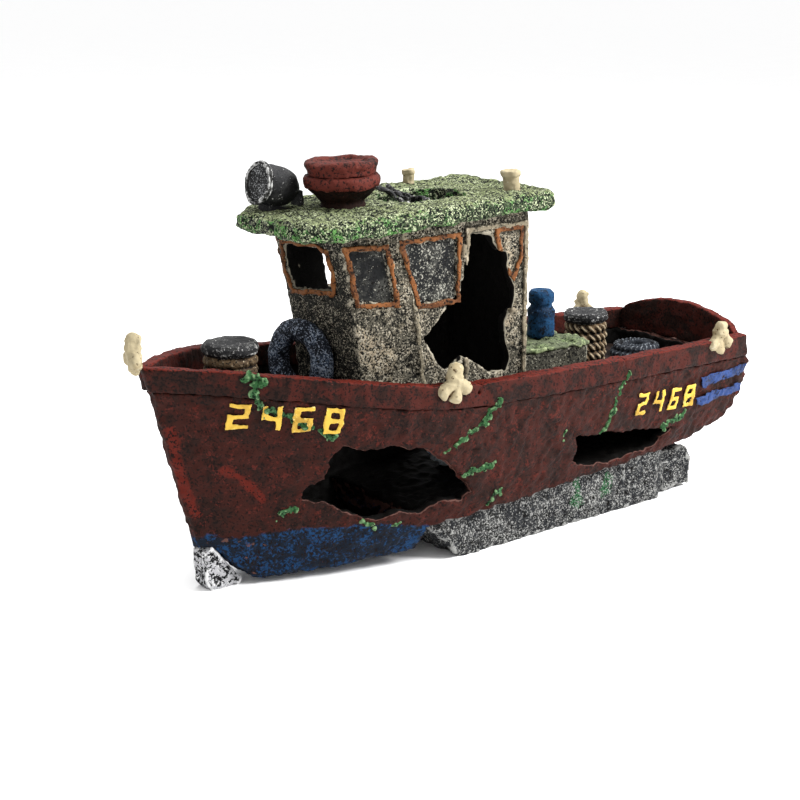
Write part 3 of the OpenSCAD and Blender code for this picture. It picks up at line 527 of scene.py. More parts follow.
# Algae on the port side: runs of place and height
PORT_ALGAE = (
    ((-88.5, 68), (-86, 69), (-83.5, 67), (-86, 65.5), (-87.5, 63)),
    ((-87, 67), (-86.2, 64), (-85.5, 61), (-84, 58.5), (-79, 57), (-73, 53.5), (-68, 50.5),
     (-63.5, 48)),
    ((-76, 24.2), (-73.5, 24.8), (-70, 26)), ((-51, 19), (-49.6, 17.6), (-48, 17)),
    ((-40.5, 16), (-38, 15.8)),
    ((-10, 53.5), (-11.5, 51), (-13, 48.6), (-17, 45.7), (-22, 42.5), (-28.5, 38.5)),
    ((-18, 29.7), (-13, 31), (-8.5, 31)), ((-6, 17.5), (-4, 21.2), (-1, 21.5)),
    ((21.5, 35.5), (23, 37)), ((47.2, 53), (45.6, 49), (44, 43.5), (43.3, 39.5), (40.3, 32.6)),
    ((71.5, 28), (77.5, 30.2), (84, 31.4)),
)
STARBOARD_ALGAE = (
    ((-58, 55), (-52, 49), (-49, 44)), ((-20, 33), (-12, 30), (-6, 31)),
    ((62, 53), (66, 45), (73, 41)),
)


def hull_finish(paint):
    """Red-brown paint with a black wash, blue below the waterline, rubbed near the stem, and black
    with painted shade on the inner faces.
    """

    def layers(f, colours, fine):
        blotch = f.noise(4.2, 4.0, 0.7, 5.5)
        rubbed = f.over(f.sum(f.mask("rubbed"), f.sum(-0.5, blotch), 1.6), 0.35, 0.8)
        colours = f.blend(rubbed, colours, paint.worn_and_highlight_red)
        speckle = f.noise(0.9, 3.0, 0.75, 9.2)
        worn = f.over(f.sum(speckle, blotch, 0.8), 0.97, 1.06)
        colours = f.blend(worn, colours, (0.06, 0.0115, 0.008))
        thick = f.over(f.sum(speckle, blotch, 0.9), 0.93, 1.05)
        blue = f.blend(thick, (0.005, 0.008, 0.014), paint.bottom_blue)
        wet = f.over(f.sum(f.mask("draught"), f.sum(-0.5, blotch), 5.0), -0.5, 0.6)
        return f.blend(wet, colours, blue)

    return granular(
        "hull_paint", paint.hull_red, paint.hull_brown, RED_SHADE, (0.048, 0.0155, 0.0115),
        grain=0.62, patches=(0.44, 0.6), darks=(0.46, 0.39), brush=(0.62, 1.15),
        hollow=(-0.35, -0.85), depth=0.2, rough=(0.45, 0.65), cavity_shade=BLACK_AND_CAVITY_SHADE, layers=layers,
        edge=(0.085, 0.04, 0.032),
    )


def hull_carve(points, normals):
    """Uneven waves down the stern, which fade in over the last of the hull's length."""
    stern = np.clip((points[:, 0] - STERN_WAVES_START) / STERN_WAVES_FADE, 0, 1)
    waves = 0.5 * np.sin(points[:, 2] * 1.15 + 0.6 * np.sin(points[:, 2] * 0.4))
    return stern * waves


def rail_finish(paint):
    """Brighter red-brown paint, rubbed red along its edges and painted bright red on its upward
    faces as a painted highlight, with dark spots.
    """

    def layers(f, colours, fine):
        blotch = f.noise(3.0, 4.0, 0.7, 2.5)
        # Raised edges are rubbed red, and upward faces are painted bright red as a painted
        # highlight
        worn_edge_and_lit_top = f.sum(f.sum(f.facing("Z"), f.mask("raised"), 0.35), f.sum(-0.5, blotch), 1.0)
        return f.blend(f.over(worn_edge_and_lit_top, 0.35, 0.85), colours, paint.worn_and_highlight_red)

    return granular(
        "rail_paint", paint.rail_red, paint.hull_brown, RED_SHADE, (0.092, 0.023, 0.0165),
        grain=0.62, patches=(0.44, 0.58), darks=(0.47, 0.41), pales=(0.67, 0.77), brush=(0.75, 1.2),
        hollow=(-0.25, -0.65), depth=0.2, rough=(0.42, 0.62), layers=layers,
    )


class BOAT_OT_hull(bpy.types.Operator):
    """Makes the hull with its broken sides, painted blue below the waterline"""

    bl_idname = "boat.hull"
    bl_label = "Hull"

    def execute(self, context):
        paint = context.scene.boat_hull
        piece = cast(
            "hull", ("hull_shell",), paint.hull_grain, "hull_paint", hull_finish(paint), soften=0,
            warp=((0.45, 3.2), (0.4, 1.5)), relief=((0.16, 7), (0.1, 2.2)), seed=3,
            carve=hull_carve, core=HULL_CORE,
        )
        points = points_of(piece.data)
        line = np.interp(points[:, 0], *zip(*WATERLINE))
        set_mask(piece.data, "draught", line - points[:, 2])
        set_mask(piece.data, "rubbed", near_paths(points, RUBBED, 2.6) * (points[:, 1] < 0))
        return {"FINISHED"}


class BOAT_OT_rails(bpy.types.Operator):
    """Makes the rail bands and the board over the transom"""

    bl_idname = "boat.rails"
    bl_label = "Rails"

    def execute(self, context):
        paint = context.scene.boat_hull
        finish = rail_finish(paint)
        for seed, name in enumerate(("port_rail", "starboard_rail", "transom_board")):
            cast_node(
                name, paint.rail_grain, "rail_paint", finish, warp=((0.22, 2.4),),
                relief=((0.22, 6), (0.1, 1.3)), seed=11 + 3 * seed,
            )
        return {"FINISHED"}


class BOAT_OT_deck(bpy.types.Operator):
    """Makes the deck"""

    bl_idname = "boat.deck"
    bl_label = "Deck"

    def execute(self, context):
        paint = context.scene.boat_hull
        finish = granular(
            "deck_paint", (0.013, 0.009, 0.008), (0.024, 0.014, 0.011), BLACK_AND_CAVITY_SHADE, (0.055, 0.045, 0.04),
            grain=0.8, depth=0.25,
        )
        cast_node(
            "deck", paint.hull_grain, "deck_paint", finish, relief=((0.25, 5), (0.12, 1.8)),
            seed=23,
        )
        return {"FINISHED"}


class BOAT_OT_rock(bpy.types.Operator):
    """Makes the rock base, the low block behind it and the block under the stem"""

    bl_idname = "boat.rock"
    bl_label = "Rock"

    def execute(self, context):
        paint = context.scene.boat_hull

        def moss(f, colours, fine):
            patch = f.noise(9.0, 3.0, 0.6, 4.4)
            mossy = f.over(f.sum(patch, f.mask("mossy"), 0.35), 0.72, 0.84)
            return f.blend(mossy, colours, (0.018, 0.07, 0.028))

        finish = granular(
            "rock_paint", paint.rock_dark, (0.034, 0.0345, 0.035), BLACK_AND_CAVITY_SHADE, paint.rock_pale,
            patches=(0.44, 0.58), darks=(0.47, 0.42), pales=(0.545, 0.6), brush=(0.16, 0.55),
            hollow=(-0.1, -0.42), depth=0.45, rough=(0.6, 0.85), layers=moss,
        )
        for seed, name in enumerate(("rock_base", "base_step")):
            piece = cast_node(
                name, paint.rock_grain, "rock", finish, warp=((0.45, 5), (0.25, 2)),
                relief=((0.34, 2.6), (0.3, 1.3)), seed=31 + 5 * seed,
            )
            spots = near_paths(points_of(piece.data), MOSS_PATHS, 5)
            set_mask(piece.data, "mossy", spots)
        silver = granular(
            "forefoot_paint", (0.34, 0.34, 0.35), (0.15, 0.155, 0.165), (0.005, 0.005, 0.0055),
            (0.62, 0.62, 0.62), grain=0.9, patches=(0.5, 0.6), darks=(0.52, 0.48),
            pales=(0.58, 0.66), brush=(0.3, 0.7), hollow=(-0.1, -0.4), depth=0.4, rough=(0.35, 0.6),
        )
        cast_node(
            "forefoot", paint.rail_grain, "forefoot_paint", silver, soften=2, warp=((0.3, 2.5),),
            relief=((0.35, 2.2), (0.15, 1.0)), seed=41,
        )
        return {"FINISHED"}


class BOAT_OT_paint_marks(bpy.types.Operator):
    """Makes the stripes and the draught marks on the sides"""

    bl_idname = "boat.paint_marks"
    bl_label = "Stripes and marks"

    def execute(self, context):
        paint, house = context.scene.boat_hull, context.scene.boat_house
        blue = granular(
            "stripe_paint", paint.stripe_blue, (0.016, 0.03, 0.09), (0.011, 0.012, 0.022),
            (0.055, 0.095, 0.21), grain=0.7, darks=(0.45, 0.38), pales=(0.68, 0.78),
            brush=(0.7, 1.1), hollow=(-0.5, -1.0), depth=0.12, rough=(0.4, 0.6),
        )
        yellow = granular(
            "mark_paint", paint.mark_yellow, (0.36, 0.215, 0.036), (0.075, 0.042, 0.01),
            (0.66, 0.52, 0.2), grain=0.8, darks=(0.34, 0.28), pales=(0.64, 0.74), brush=(0.6, 1.0),
            hollow=(-0.6, -1.0), depth=0.15, rough=(0.35, 0.55),
        )
        for seed, side in enumerate(("port", "starboard")):
            stripes = cast_node(
                side + "_stripes", house.trim_grain * 1.2, "blue_paint", blue, soften=2,
                warp=((0.45, 3.5), (0.4, 1.3)), relief=((0.12, 1.5),), seed=51 + seed,
            )
            marks = cast_node(
                side + "_marks", house.trim_grain * 0.8, "yellow_paint", yellow, soften=3,
                warp=((0.4, 3.0), (0.22, 1.2)), relief=((0.12, 1.0),), seed=57 + seed,
            )
            for piece, proud in ((stripes, 0.25), (marks, 0.5)):
                points = points_of(piece.data)
                points[:, 1] += (PORT, STARBOARD)[seed] * proud
                set_points(piece.data, points)
        return {"FINISHED"}


SIDE_REACH_M = 0.09  # search rays start this far out, clear of the boat
LEAST_BREADTH = 15  # a ray that ends nearer the middle went through a break
BEAD_SPACING = 0.5


def side_word(side):
    return "port" if side == PORT else "starboard"


def side_trees(side):
    """Search trees of the made hull and rail on one side."""
    trees = []
    for name in ("hull", side_word(side) + "_rail_cast"):
        mesh = bpy.data.objects[name].data
        corners = [tuple(face.vertices) for face in mesh.polygons]
        trees.append(BVHTree.FromPolygons([point.co for point in mesh.vertices], corners))
    return trees


def side_point(trees, x, z, side):
    """The outermost point of the side at a place and height, in millimetres, or None."""
    found = None
    start = Vector((x * MM, side * SIDE_REACH_M, z * MM))
    for tree in trees:
        where = tree.ray_cast(start, Vector((0, -side, 0)), SIDE_REACH_M)[0]
        if where and (found is None or side * where.y > side * found.y):
            found = where
    return None if found is None else np.array(found) / MM


class BOAT_OT_algae(bpy.types.Operator):
    """Grows algae along runs on the hull's sides"""

    bl_idname = "boat.algae"
    bl_label = "Algae"

    def execute(self, context):
        paint, gear = context.scene.boat_hull, context.scene.boat_gear
        finish = granular(
            "algae_paint", paint.algae_green, (0.03, 0.084, 0.034), (0.003, 0.009, 0.004),
            (0.11, 0.19, 0.09), grain=0.6, darks=(0.49, 0.43), pales=(0.62, 0.72),
            brush=(0.35, 0.9), hollow=(-0.15, -0.6), depth=0.25, rough=(0.4, 0.7),
        )
        for side, runs in ((PORT, PORT_ALGAE), (STARBOARD, STARBOARD_ALGAE)):
            chance = np.random.default_rng(5 + side)
            trees = side_trees(side)
            shape = bmesh.new()
            for run in runs:
                self.grow(shape, run, side, trees, chance)
            mesh = bpy.data.meshes.new("algae")
            shape.to_mesh(mesh)
            shape.free()
            name = side_word(side) + "_algae"
            piece = remeshed(name + "_growth", mesh, gear.fine_grain)
            work(piece, warp=((0.4, 1.6),), relief=((0.22, 1.1),), seed=63 + side)
            placed(piece, (name,), finish)
        return {"FINISHED"}

    def grow(self, shape, run, side, trees, chance):
        """Beads of uneven size along one run, with a few leaves beside it."""
        for a, b in zip(run[:-1], run[1:]):
            count = max(2, int(math.dist(a, b) / BEAD_SPACING))
            for i in range(count):
                share = i / count
                x, z = (a[k] + (b[k] - a[k]) * share + chance.normal(0, 0.35) for k in (0, 1))
                at = side_point(trees, x, z, side)
                if at is None or side * at[1] < LEAST_BREADTH:
                    continue
                radius = chance.uniform(0.4, 1.05)
                self.bead(shape, at, radius)
                if chance.random() < 0.5:
                    leaf = at + np.array([chance.normal(0, 0.9), 0, chance.normal(0, 0.9)])
                    self.bead(shape, leaf, radius * 0.8)

    def bead(self, shape, at, radius):
        """One rounded bead, a little flatter towards the hull."""
        made = bmesh.ops.create_icosphere(shape, subdivisions=2, radius=radius * MM)
        bmesh.ops.scale(shape, vec=(1, 0.75, 1), verts=made["verts"])
        bmesh.ops.translate(shape, vec=Vector(at) * MM, verts=made["verts"])


# ------------------------------------------------------------------ wheelhouse

HOUSE_CORE = ((-18, 0, 50), (-18, 0, 100))
# Where the walls are rubbed to beige, below the corner windows and behind the side ones
BEIGE = (((-47, 72), (-39, 66)), ((7, 95), (8, 74)))


class BOAT_OT_wheelhouse(bpy.types.Operator):
    """Makes the wheelhouse walls, broken open beside the door"""

    bl_idname = "boat.wheelhouse"
    bl_label = "Wheelhouse"

    def execute(self, context):
        paint = context.scene.boat_house

        def beige_and_front_shade(f, colours, fine):
            # Faces towards the bow are painted darker as painted shade; the beige patches are
            # rubbed paint
            front = f.over(f.sum(f.facing("X"), f.sum(-0.5, fine), 0.5), -0.45, -0.8)
            beige = f.over(f.sum(f.mask("beige"), f.sum(-0.5, fine), 1.2), 0.35, 0.7)
            colours = f.blend(beige, colours, (0.26, 0.215, 0.15))
            return f.blend(front, colours, (0.022, 0.022, 0.019))

        # Inner faces take the cavity colour: black inside paint, with painted shade in the hollow
        # house
        finish = granular(
            "wall_paint", paint.wall_grey, paint.wall_khaki, (0.005, 0.005, 0.0045),
            (0.3, 0.27, 0.21), darks=(0.515, 0.475), pales=(0.555, 0.6), brush=(0.25, 0.6),
            hollow=(-0.06, -0.36), depth=0.45, rough=(0.55, 0.8), cavity_shade=BLACK_AND_CAVITY_SHADE, layers=beige_and_front_shade,
            edge=(0.26, 0.235, 0.18),
        )
        walls = cast_node(
            "wheelhouse", paint.wall_grain, "wheelhouse_stone", finish,
            warp=((0.35, 4.5), (0.3, 1.5)), relief=((0.2, 3.5), (0.2, 1.2)), seed=71,
            core=HOUSE_CORE,
        )
        set_mask(walls.data, "beige", near_paths(points_of(walls.data), BEIGE, 9))
        cast_node(
            "corner_posts", paint.trim_grain, "wheelhouse_stone", self.posts(paint),
            warp=((0.35, 3.0), (0.2, 1.2)), relief=((0.15, 1.2),), seed=75,
        )
        return {"FINISHED"}

    def posts(self, paint):
        return granular(
            "post_paint", (0.185, 0.16, 0.112), (0.105, 0.092, 0.068), (0.01, 0.01, 0.009),
            (0.36, 0.325, 0.25), grain=0.55, pales=(0.62, 0.7), brush=(0.45, 0.9),
            hollow=(-0.25, -0.7),
        )


class BOAT_OT_windows(bpy.types.Operator):
    """Makes the window frames and their blind panes"""

    bl_idname = "boat.windows"
    bl_label = "Windows"

    def execute(self, context):
        paint = context.scene.boat_house
        orange = granular(
            "frame_paint", paint.frame_orange, (0.085, 0.033, 0.014), (0.011, 0.007, 0.005),
            (0.3, 0.155, 0.07), grain=0.65, patches=(0.46, 0.6), darks=(0.46, 0.39),
            brush=(0.6, 1.1), hollow=(-0.35, -0.8), depth=0.2, rough=(0.4, 0.65),
        )

        def pane(name, pale):
            return granular(
                name, paint.pane_black, (0.04, 0.04, 0.036), BLACK_AND_CAVITY_SHADE, (0.25, 0.245, 0.21),
                patches=(0.46, 0.6), darks=(0.45, 0.39), pales=(pale, pale + 0.05),
                brush=(0.4, 0.8), hollow=(-0.2, -0.6), depth=0.4,
            )

        dark_pane, pale_pane = pane("dark_pane_paint", 0.635), pane("pale_pane_paint", 0.565)
        frames = (
            "front_window_frame", "corner_window_frame", "side_window_frame",
            "starboard_window_frames", "door_window_frame",
        )
        for seed, name in enumerate(frames):
            cast_node(
                name, paint.trim_grain, "window_frame_paint", orange, soften=3,
                warp=((0.35, 3.0), (0.18, 1.2)), relief=((0.28, 1.8),), seed=81 + 2 * seed,
            )
        panes = (
            ("corner_window_pane", dark_pane), ("side_window_pane", pale_pane),
            ("starboard_window_pane", dark_pane),
        )
        for seed, (name, finish) in enumerate(panes):
            cast_node(
                name, paint.trim_grain * 1.2, "blind_pane", finish,
                relief=((0.16, 1.5), (0.1, 0.8)), seed=93 + seed,
            )
        return {"FINISHED"}


class BOAT_OT_door(bpy.types.Operator):
    """Makes the door's outline, hinge and knob"""

    bl_idname = "boat.door"
    bl_label = "Door"

    def execute(self, context):
        paint = context.scene.boat_house
        finish = granular(
            "door_paint", (0.185, 0.155, 0.108), (0.095, 0.085, 0.062), (0.01, 0.01, 0.009),
            (0.38, 0.33, 0.245), grain=0.55, darks=(0.44, 0.38), pales=(0.62, 0.7),
            brush=(0.4, 0.9), hollow=(-0.25, -0.7),
        )
        slots = {
            "door_frame": "wheelhouse_stone", "door_hinge": "dark_iron_paint",
            "door_knob": "window_frame_paint",
        }
        for seed, (name, slot) in enumerate(slots.items()):
            cast_node(
                name, paint.trim_grain, slot, finish, warp=((0.25, 2.5), (0.15, 1.2)),
                relief=((0.18, 1.2),), seed=101 + seed,
            )
        return {"FINISHED"}


class BOAT_OT_roof(bpy.types.Operator):
    """Makes the mossy roof, broken open over the middle, with its stumps and twigs"""

    bl_idname = "boat.roof"
    bl_label = "Roof"

    def execute(self, context):
        paint, gear = context.scene.boat_house, context.scene.boat_gear

        def top(f, colours, fine):
            patch = f.noise(4.5, 4.0, 0.65, 8.8)
            stone = f.over(f.sum(patch, fine, 0.3), 0.66, 0.6)
            colours = f.blend(stone, colours, (0.06, 0.062, 0.055))
            # Port-facing faces are painted darker green as painted shade
            port = f.over(f.sum(f.facing("Y"), f.sum(-0.5, patch), 2.2), -0.55, -0.95)
            colours = f.blend(port, colours, (0.038, 0.056, 0.028))
            # Upward faces turn pale yellow-green moss, which partly stands for painted light on the
            # tops
            facing = f.over(f.sum(f.facing("Z"), f.sum(-0.5, patch), 0.9), 0.45, 0.85)
            return f.blend(facing, colours, paint.pale_moss_and_top_light)

        finish = granular(
            "roof_paint", paint.moss_green, (0.045, 0.105, 0.036), (0.005, 0.006, 0.005),
            (0.36, 0.4, 0.25), patches=(0.47, 0.6), darks=(0.53, 0.49), pales=(0.575, 0.61),
            brush=(0.35, 0.8), hollow=(-0.02, -0.28), depth=0.45, rough=(0.55, 0.8), layers=top,
        )
        cast_node(
            "roof", paint.roof_grain, "roof_moss", finish,
            warp=((0.55, 9), (0.3, 2.8), (0.25, 1.2)), relief=((0.22, 3.5), (0.26, 1.2)), seed=111,
        )
        cast_node(
            "roof_stumps", gear.fine_grain, "cream_paint", cream_finish(gear), warp=((0.35, 2.2),),
            relief=((0.3, 1.9), (0.12, 0.9)), seed=117,
        )
        cast_node(
            "roof_twigs", gear.fine_grain, "twig", dark_finish(gear, "twig_paint"), soften=2,
            warp=((1.5, 6), (0.5, 2.2)), relief=((0.3, 1.6),), seed=121,
        )
        return {"FINISHED"}


# ------------------------------------------------------------------ gear


def cream_finish(gear):
    """Thick cream paint with a few brown pits."""
    found = bpy.data.materials.get("thick_cream")
    if found:
        return found
    return granular(
        "thick_cream", gear.cream, (0.235, 0.185, 0.105), (0.06, 0.036, 0.016),
        (0.385, 0.345, 0.245), grain=1.0, patches=(0.5, 0.66), darks=(0.38, 0.31),
        pales=(0.6, 0.74), brush=(0.4, 1.0), hollow=(-0.35, -0.8), depth=0.22, rough=(0.4, 0.65),
    )


def dark_finish(gear, name="iron_paint", pale=0.62, brush=(0.5, 0.95)):
    """Black paint with pale dry brushing on its edges."""
    found = bpy.data.materials.get(name)
    if found:
        return found
    return granular(
        name, gear.iron_black, (0.02, 0.02, 0.02), (0.004, 0.004, 0.004), (0.42, 0.415, 0.4),
        grain=0.55, patches=(0.5, 0.62), darks=(0.44, 0.38), pales=(pale, pale + 0.06), brush=brush,
        hollow=(-0.25, -0.7), rough=(0.4, 0.6), specular=0.16,
    )


class BOAT_OT_funnel(bpy.types.Operator):
    """Makes the funnel: a tapered foot, a band and a rimmed cap"""

    bl_idname = "boat.funnel"
    bl_label = "Funnel"

    def execute(self, context):
        gear = context.scene.boat_gear
        foot = granular(
            "funnel_foot_paint", (0.014, 0.0065, 0.005), (0.008, 0.0045, 0.004), BLACK_AND_CAVITY_SHADE,
            (0.08, 0.034, 0.022), grain=0.7, pales=(0.66, 0.74), brush=(0.6, 1.0),
        )
        band = granular(
            "funnel_band_paint", (0.085, 0.0185, 0.0135), (0.04, 0.012, 0.009),
            (0.009, 0.0055, 0.005), (0.24, 0.085, 0.06), grain=0.6, patches=(0.48, 0.62),
            darks=(0.47, 0.41), pales=(0.74, 0.84), brush=(0.45, 0.95), hollow=(-0.08, -0.36),
            rough=(0.4, 0.65),
        )
        for seed, (name, finish) in enumerate(
            (("funnel_stem", foot), ("funnel_band", band), ("funnel_cap", band))
        ):
            cast_node(
                name, gear.gear_grain, "funnel_paint", finish, soften=2, warp=((0.28, 5), (0.2, 2)),
                relief=((0.22, 3.2), (0.15, 1.2)), seed=131 + 3 * seed,
            )
        return {"FINISHED"}


class BOAT_OT_searchlight(bpy.types.Operator):
    """Makes the searchlight: hood, rim, glass and foot"""

    bl_idname = "boat.searchlight"
    bl_label = "Searchlight"

    def execute(self, context):
        gear = context.scene.boat_gear
        dark = dark_finish(gear, "lamp_paint", 0.66, (0.55, 1.0))
        rim = granular(
            "lamp_rim_paint", (0.02, 0.02, 0.02), (0.06, 0.06, 0.058), BLACK_AND_CAVITY_SHADE, (0.46, 0.46, 0.45),
            grain=0.6, darks=(0.48, 0.42), pales=(0.66, 0.74), brush=(0.3, 0.7),
            hollow=(-0.3, -0.8), depth=0.2,
        )
        glass = granular(
            "lamp_glass_paint", (0.018, 0.0185, 0.019), (0.036, 0.0365, 0.037), BLACK_AND_CAVITY_SHADE,
            (0.26, 0.265, 0.27), grain=0.45, darks=(0.48, 0.43), pales=(0.545, 0.6),
            brush=(0.4, 0.8), depth=0.35,
        )
        rows = (
            ("lamp_barrel", dark, "dark_iron_paint"), ("lamp_rim", rim, "lamp_rim_paint"),
            ("lamp_glass", glass, "blind_pane"), ("lamp_foot", dark, "dark_iron_paint"),
        )
        for seed, (name, finish, slot) in enumerate(rows):
            cast_node(
                name, gear.fine_grain, slot, finish, warp=((0.3, 4),),
                relief=((0.22, 2.6), (0.1, 1.0)), seed=141 + 3 * seed,
            )
        return {"FINISHED"}


def rope_carve(centre, strands, pitch, depth):
    """Twisted strands around an upright drum."""

    def carve(points, normals):
        turn = np.arctan2(points[:, 1] - centre[1], points[:, 0] - centre[0])
        twist = np.sin(strands * turn + 2 * math.pi * points[:, 2] / pitch)
        side = 1 - np.abs(normals[:, 2]) ** 3
        return depth * side * twist

    return carve


class BOAT_OT_bollards(bpy.types.Operator):
    """Makes the two rope-wound bollards and their caps"""

    bl_idname = "boat.bollards"
    bl_label = "Bollards"

    def execute(self, context):
        gear = context.scene.boat_gear
        rope = granular(
            "rope_paint", gear.rope_brown, (0.048, 0.032, 0.02), (0.006, 0.0048, 0.004),
            (0.34, 0.275, 0.185), grain=0.7, patches=(0.48, 0.6), pales=(0.64, 0.72),
            brush=(0.25, 0.8), hollow=(-0.02, -0.35), rough=(0.4, 0.7),
        )
        iron = dark_finish(gear, "cap_paint", 0.635, (0.22, 0.6))
        rows = (("bow_bollard", 20, 0.05), ("stern_bollard", 16, 0.32))
        for seed, (name, strands, depth) in enumerate(rows):
            low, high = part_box(name)
            centre = (low + high) / 2 / MM
            cast(
                name + "_rope", (name,), gear.fine_grain, "bollard_rope", rope, warp=((0.25, 4),),
                relief=((0.16, 1.6),), seed=151 + seed,
                carve=rope_carve(centre, strands, 3.0, depth),
            )
            cast_node(
                name + "_cap", gear.fine_grain, "dark_iron_paint", iron, warp=((0.35, 5),),
                relief=((0.3, 3.0), (0.14, 1.1)), seed=157 + seed,
            )
        return {"FINISHED"}


class BOAT_OT_tyre(bpy.types.Operator):
    """Makes the tyre leaning on the wheelhouse"""

    bl_idname = "boat.tyre"
    bl_label = "Tyre"

    def execute(self, context):
        gear = context.scene.boat_gear
        finish = granular(
            "tyre_paint", (0.011, 0.0135, 0.019), gear.tyre_blue, (0.0045, 0.005, 0.006),
            (0.27, 0.31, 0.38), patches=(0.46, 0.6), darks=(0.48, 0.43), pales=(0.545, 0.6),
            brush=(0.22, 0.6), hollow=(-0.15, -0.5), depth=0.35, rough=(0.4, 0.65),
        )
        cast_node(
            "tyre", gear.gear_grain, "tyre_paint", finish, warp=((0.35, 5),),
            relief=((0.28, 3), (0.14, 1.2)), seed=163,
        )
        return {"FINISHED"}


class BOAT_OT_hatch(bpy.types.Operator):
    """Makes the hatch box, the moss on it and the gas bottle"""

    bl_idname = "boat.hatch"
    bl_label = "Hatch and gas bottle"

    def execute(self, context):
        house, gear = context.scene.boat_house, context.scene.boat_gear
        box = granular(
            "hatch_paint", (0.04, 0.038, 0.03), (0.07, 0.065, 0.048), (0.006, 0.006, 0.0055),
            (0.25, 0.24, 0.19), grain=0.55, darks=(0.49, 0.43), pales=(0.59, 0.66),
            hollow=(-0.1, -0.5), depth=0.4,
        )
        moss = granular(
            "hatch_moss_paint", (0.085, 0.098, 0.06), (0.115, 0.15, 0.07), (0.01, 0.013, 0.008),
            (0.24, 0.28, 0.15), grain=0.65, pales=(0.6, 0.68), brush=(0.35, 0.8),
            hollow=(-0.1, -0.45), depth=0.4,
        )
        blue = granular(
            "bottle_paint", gear.bottle_blue, (0.006, 0.018, 0.042), (0.0035, 0.0055, 0.009),
            (0.08, 0.17, 0.3), grain=0.7, patches=(0.46, 0.6), darks=(0.46, 0.39),
            brush=(0.45, 0.95), hollow=(-0.2, -0.6), rough=(0.35, 0.6),
        )
        cast_node(
            "hatch_box", house.wall_grain, "hatch_paint", box, soften=2, warp=((0.4, 5),),
            relief=((0.25, 3), (0.16, 1.3)), seed=171,
        )
        cast_node(
            "hatch_moss", gear.gear_grain, "roof_moss", moss, soften=2, warp=((0.7, 4), (0.4, 1.8)),
            relief=((0.5, 3), (0.25, 1.3)), seed=173,
        )
        for seed, name in enumerate(("gas_bottle", "gas_bottle_valve")):
            cast_node(
                name, gear.fine_grain, "blue_paint", blue, soften=0, warp=((0.22, 3.5),),
                relief=((0.18, 2.4), (0.12, 1.1)), seed=177 + seed,
            )
        return {"FINISHED"}


class BOAT_OT_rope_coil(bpy.types.Operator):
    """Makes the coil of rope on the after deck"""

    bl_idname = "boat.rope_coil"
    bl_label = "Rope coil"

    def execute(self, context):
        gear = context.scene.boat_gear
        finish = granular(
            "coil_paint", gear.coil_grey, (0.012, 0.013, 0.015), (0.0045, 0.0045, 0.005),
            (0.2, 0.215, 0.235), grain=0.6, darks=(0.45, 0.39), pales=(0.62, 0.7),
            hollow=(-0.05, -0.4),
        )
        low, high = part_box("rope_coil")
        cast_node(
            "rope_coil", gear.fine_grain, "coil_paint", finish, warp=((0.3, 4),),
            relief=((0.12, 1.4),), seed=181, carve=coil_carve((low + high) / 2 / MM),
        )
        return {"FINISHED"}


def coil_carve(centre):
    """Strands slanting across every turn of a flat coil."""

    def carve(points, normals):
        east, north = points[:, 0] - centre[0], points[:, 1] - centre[1]
        turn, out = np.arctan2(north, east), np.hypot(east, north)
        return 0.12 * np.sin(26 * turn + 2.4 * out)

    return carve


class BOAT_OT_cleats(bpy.types.Operator):
    """Makes the cream cleats on the rails"""

    bl_idname = "boat.cleats"
    bl_label = "Cleats"

    def execute(self, context):
        gear = context.scene.boat_gear
        finish = cream_finish(gear)
        for seed, name in enumerate(("bow_cleat", "port_cleats", "starboard_cleats")):
            cast_node(
                name, gear.fine_grain, "cream_paint", finish, soften=2,
                warp=((0.45, 3.2), (0.28, 1.4)), relief=((0.34, 2.0), (0.16, 0.9)),
                seed=191 + 2 * seed,
            )
        return {"FINISHED"}


class BOAT_OT_air_line(bpy.types.Operator):
    """Paints the air line's clear plastic and makes the air stone"""

    bl_idname = "boat.air_line"
    bl_label = "Air line"

    def execute(self, context):
        gear = context.scene.boat_gear
        f = Finish("clear_plastic")
        haze = f.noise(2.5, 4.0, 0.6, 2.0)
        milky = f.blend(f.over(haze, 0.35, 0.7), (0.7, 0.76, 0.78), (0.5, 0.57, 0.6))
        f.shader.inputs["Transmission Weight"].default_value = 0.35
        f.shader.inputs["IOR"].default_value = 1.46
        plastic = f.finish(milky, haze, 0.05, (0.12, 0.34), specular=0.5)
        for name in ("air_inlet", "air_tube", "air_elbow", "air_riser", "stone_holder"):
            for holder in frame["nodes"][name].material_slots:
                holder.material = plastic
        mineral = granular(
            "mineral", gear.stone_blue, (0.16, 0.26, 0.4), (0.02, 0.04, 0.08), (0.62, 0.7, 0.78),
            grain=0.6, darks=(0.47, 0.41), pales=(0.58, 0.66), brush=(0.3, 0.7),
            hollow=(-0.1, -0.5), depth=0.5, rough=(0.7, 0.95),
        )
        cast_node(
            "air_stone", gear.gear_grain, "air_stone_mineral", mineral, body=STONE, soften=0,
            relief=((0.12, 1.2), (0.08, 0.7)), seed=197,
        )
        return {"FINISHED"}


# ------------------------------------------------------------------ stage


